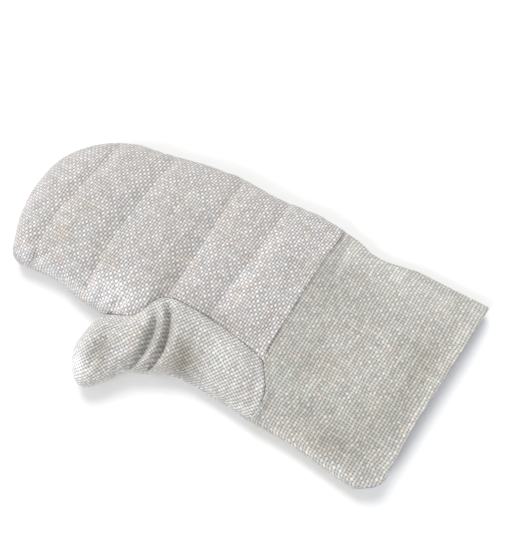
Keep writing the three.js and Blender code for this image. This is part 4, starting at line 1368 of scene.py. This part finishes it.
@dataclass
class Stitches:
    """Rows of stitches, made by Geometry Nodes along lines on the cloth."""

    name: str
    spacing: float
    length: float
    thickness: float
    slot: str

    def tree(self, finish: bpy.types.Material) -> bpy.types.NodeTree:
        """Builds the tree that sets one stitch after another along each line."""
        group = bpy.data.node_groups.new(self.name, "GeometryNodeTree")
        face = group.interface
        face.new_socket("Lines", in_out="INPUT", socket_type="NodeSocketGeometry")
        for label in ("Spacing", "Length", "Thickness"):
            face.new_socket(label, in_out="INPUT", socket_type="NodeSocketFloat")
        face.new_socket("Stitches", in_out="OUTPUT", socket_type="NodeSocketGeometry")
        tree = Tree(group)
        given = tree.add("NodeGroupInput").outputs
        curve = tree.add("GeometryNodeMeshToCurve", {0: given["Lines"]}).outputs[0]
        spaced = {"Curve": curve, "Length": given["Spacing"]}
        even = tree.add("GeometryNodeResampleCurve", spaced, mode="LENGTH")
        way = tree.add("GeometryNodeInputTangent").outputs[0]
        turn = tree.add("FunctionNodeAlignRotationToVector", {"Vector": way}, axis="Z")
        ball = tree.add("GeometryNodeMeshUVSphere", {"Segments": 8, "Rings": 5, "Radius": 0.5})
        size = tree.vector(given["Thickness"], given["Thickness"], given["Length"])
        sizes = {"Min": 0.88, "Max": 1.1, "Seed": 4}
        change = tree.add("FunctionNodeRandomValue", sizes, data_type="FLOAT")
        scale = tree.add("ShaderNodeVectorMath", {0: size, "Scale": change.outputs[1]}, operation="SCALE")
        laid = tree.add("GeometryNodeInstanceOnPoints", {
            "Points": even.outputs[0], "Instance": ball.outputs[0], "Rotation": turn.outputs[0],
            "Scale": scale.outputs[0]})
        real = tree.add("GeometryNodeRealizeInstances", {0: laid.outputs[0]})
        dressed = tree.add("GeometryNodeSetMaterial", {0: real.outputs[0], "Material": finish})
        smooth = tree.add("GeometryNodeSetShadeSmooth", {0: dressed.outputs[0]})
        tree.add("NodeGroupOutput", {0: smooth.outputs[0]})
        return group

    def build(self, lines: list[Array], finish: bpy.types.Material) -> bpy.types.Object:
        """Sews along lines.

        Args:
            lines: Points in millimetres, line by line.
            finish: Material of the thread.

        Returns:
            The stitches as one plain mesh.
        """
        mesh = bpy.data.meshes.new(f"{self.name}_lines")
        points = np.concatenate(lines) * MM
        edges, start = [], 0
        for line in lines:
            edges += [(start + i, start + i + 1) for i in range(len(line) - 1)]
            start += len(line)
        mesh.from_pydata([tuple(p) for p in points], edges, [])
        carrier = placed(mesh.name, mesh)
        modifier = carrier.modifiers.new("stitches", "NODES")
        tree = self.tree(finish)
        modifier.node_group = tree
        sizes = {"Spacing": self.spacing, "Length": self.length, "Thickness": self.thickness}
        for item in tree.interface.items_tree:
            if item.name in sizes and item.in_out == "INPUT":
                modifier[item.identifier] = sizes[item.name] * MM
        ready = carrier.evaluated_get(bpy.context.evaluated_depsgraph_get())
        sewn = bpy.data.meshes.new_from_object(ready)
        sewn.name = self.name
        bpy.data.objects.remove(carrier)
        piece = placed(self.name, sewn)
        finished(piece, [], self.slot, finish)
        return piece


def on_piece(piece: bpy.types.Object, x: Array, y: Array, above: float) -> Array:
    """Drops a line onto a piece from above.

    Args:
        piece: The piece.
        x: X along the line, in millimetres.
        y: Y along the line, in millimetres.
        above: Height over the piece's surface, in millimetres.

    Returns:
        The points on the piece, leaving out those beside it.
    """
    found = []
    for px, py in zip(x, y):
        hit, spot, _, _ = piece.ray_cast(Vector((px * MM, py * MM, 0.2)), Vector((0, 0, -1)))
        if hit:
            found.append((px, py, spot.z / MM + above))
    return np.array(found)


@dataclass(frozen=True)
class Studio:
    """Floor, light and camera."""

    target: tuple[float, float, float] = (-9.60, -35.63, 12.0)
    eye: tuple[float, float, float] = (-116.16, 129.16, 616.0)
    lens: float = 53.8
    key_way: tuple[float, float, float] = (0.685, -0.728, 1.4)
    key_power: float = 2.03
    key_angle: float = 30.0
    fill_way: tuple[float, float, float] = (0.277, 0.953, 0.8)
    fill_power: float = 1.5
    fill_angle: float = 24.0
    ambient: float = 0.6

    def camera(self) -> None:
        """Sets the camera above and a little in front of the mitten."""
        data = bpy.data.cameras.new("camera")
        data.lens = self.lens
        data.sensor_width = 36
        data.clip_start, data.clip_end = 0.01, 20
        eye = placed("camera", data)
        eye.location = Vector(self.eye) * MM
        eye.rotation_mode = "QUATERNION"
        eye.rotation_quaternion = (Vector(self.target) - Vector(self.eye)).to_track_quat("-Z", "Y")
        bpy.context.scene.camera = eye

    def light(self) -> None:
        """Sets a broad key light, a lower fill light from the thumb's side and an even white surround."""
        for name, way, power, angle, colour in (
            ("key", self.key_way, self.key_power, self.key_angle, (1.0, 0.997, 0.99)),
            ("fill", self.fill_way, self.fill_power, self.fill_angle, (0.985, 0.99, 1.0)),
        ):
            sun = bpy.data.lights.new(name, "SUN")
            sun.energy = power
            sun.angle = math.radians(angle)
            sun.color = colour
            lamp = placed(name, sun)
            lamp.rotation_mode = "QUATERNION"
            lamp.rotation_quaternion = Vector(way).to_track_quat("Z", "Y")
        world = bpy.data.worlds.new("surround")
        bpy.context.scene.world = world
        world.use_nodes = True
        shade = world.node_tree.nodes["Background"]
        shade.inputs[0].default_value = (0.995, 0.995, 0.995, 1)
        shade.inputs[1].default_value = self.ambient
        bpy.context.scene.view_settings.view_transform = "Standard"

    def floor(self) -> None:
        """Lays the plain floor."""
        mesh = bpy.data.meshes.new("floor")
        half, low = 2.0, -0.0004
        corners = [(-half, -half, low), (half, -half, low), (half, half, low), (-half, half, low)]
        mesh.from_pydata(corners, [], [(0, 1, 2, 3)])
        mesh.materials.append(PaleFloor().material())
        ground = placed("floor", mesh)


HAND_CLOTH = WovenCloth(
    name="hand_cloth", pitch_along=2.19, pitch_across=2.40,
    warp=(207, 205, 207), weft=(178, 175, 175), hollow_shade=(128, 121, 114), inner=(150, 170, 200),
    crimp=0.42, yarn_shade_along=0.17, yarn_shade_across=0.18, uneven=0.10,
)
THUMB_CLOTH = WovenCloth(
    name="thumb_cloth", pitch_along=2.5, pitch_across=2.2,
    warp=(214, 214, 216), weft=(195, 194, 192), hollow_shade=(128, 122, 116), inner=(150, 170, 200),
    crimp=0.22, yarn_shade_along=0.11, yarn_shade_across=0.16, relief=0.44,
)
CUFF_CLOTH = WovenCloth(
    name="cuff_cloth", pitch_along=2.5, pitch_across=2.29,
    warp=(188, 187, 184), weft=(175, 174, 169), hollow_shade=(122, 119, 111), inner=(150, 170, 200),
    crimp=0.14, warp_bulk=0.56, weft_bulk=0.46, dot_edge=0.3, yarn_shade_along=0.10, yarn_shade_across=0.15,
    relief=0.38, uneven=0.09, wander=3.2,
)
LINING_CLOTH = WovenCloth(
    name="lining_cloth", pitch_along=1.5, pitch_across=1.5,
    warp=(176, 198, 228), weft=(150, 174, 212), hollow_shade=(96, 120, 160), inner=(160, 184, 218),
    crimp=0.35, relief=0.25, stain=(190, 200, 215), stain_share=0.2,
)
SEWING_THREAD = Thread("sewing_thread", (226, 224, 218))
CUFF = Sleeve(
    name="cuff_cloth_tube", node="cuff", slot="cuff_cloth",
    outside=0.0, inside=CUFF_WALL, mouth_inset=0.0, flat=(0.345, 0.125),
)
CUFF_LINING = Sleeve(
    name="cuff_lining_tube", node="cuff_lining", slot="lining_cloth",
    outside=LINING_OUT, inside=LINING_IN, mouth_inset=HEM_TURN, flat=(0.33, 0.122),
)


def sew(palm: bpy.types.Object) -> None:
    """Sews the channels of the palm."""
    stitches = Stitches(name="channel_stitches", spacing=3.6, length=2.7, thickness=0.5, slot="hand_cloth")
    y = np.arange(-106.0, 62.0, 1.5)
    channels = []
    for line, _, _ in CHANNELS:
        x = line(y)
        far = palm_edge(x) - 2.5
        keep = (y > LITTLE_EDGE(x) + 1.5) & (y < far)
        channels.append(on_piece(palm, x[keep], y[keep], -0.05))
    stitches.build(channels, SEWING_THREAD.material())


def main() -> None:
    """Builds and dresses the mitten piece by piece."""
    logging.basicConfig(level=logging.INFO, format="%(message)s")
    studio = Studio()
    studio.camera()
    studio.light()
    studio.floor()
    hand = HAND_CLOTH.material()
    palm_piece = Palm().build(hand)
    Back().build(hand)
    Thumb().build(THUMB_CLOTH.material())
    CUFF.build(CUFF_CLOTH.material())
    CUFF_LINING.build(LINING_CLOTH.material())
    sew(palm_piece)


if __name__ == "__main__":
    main()
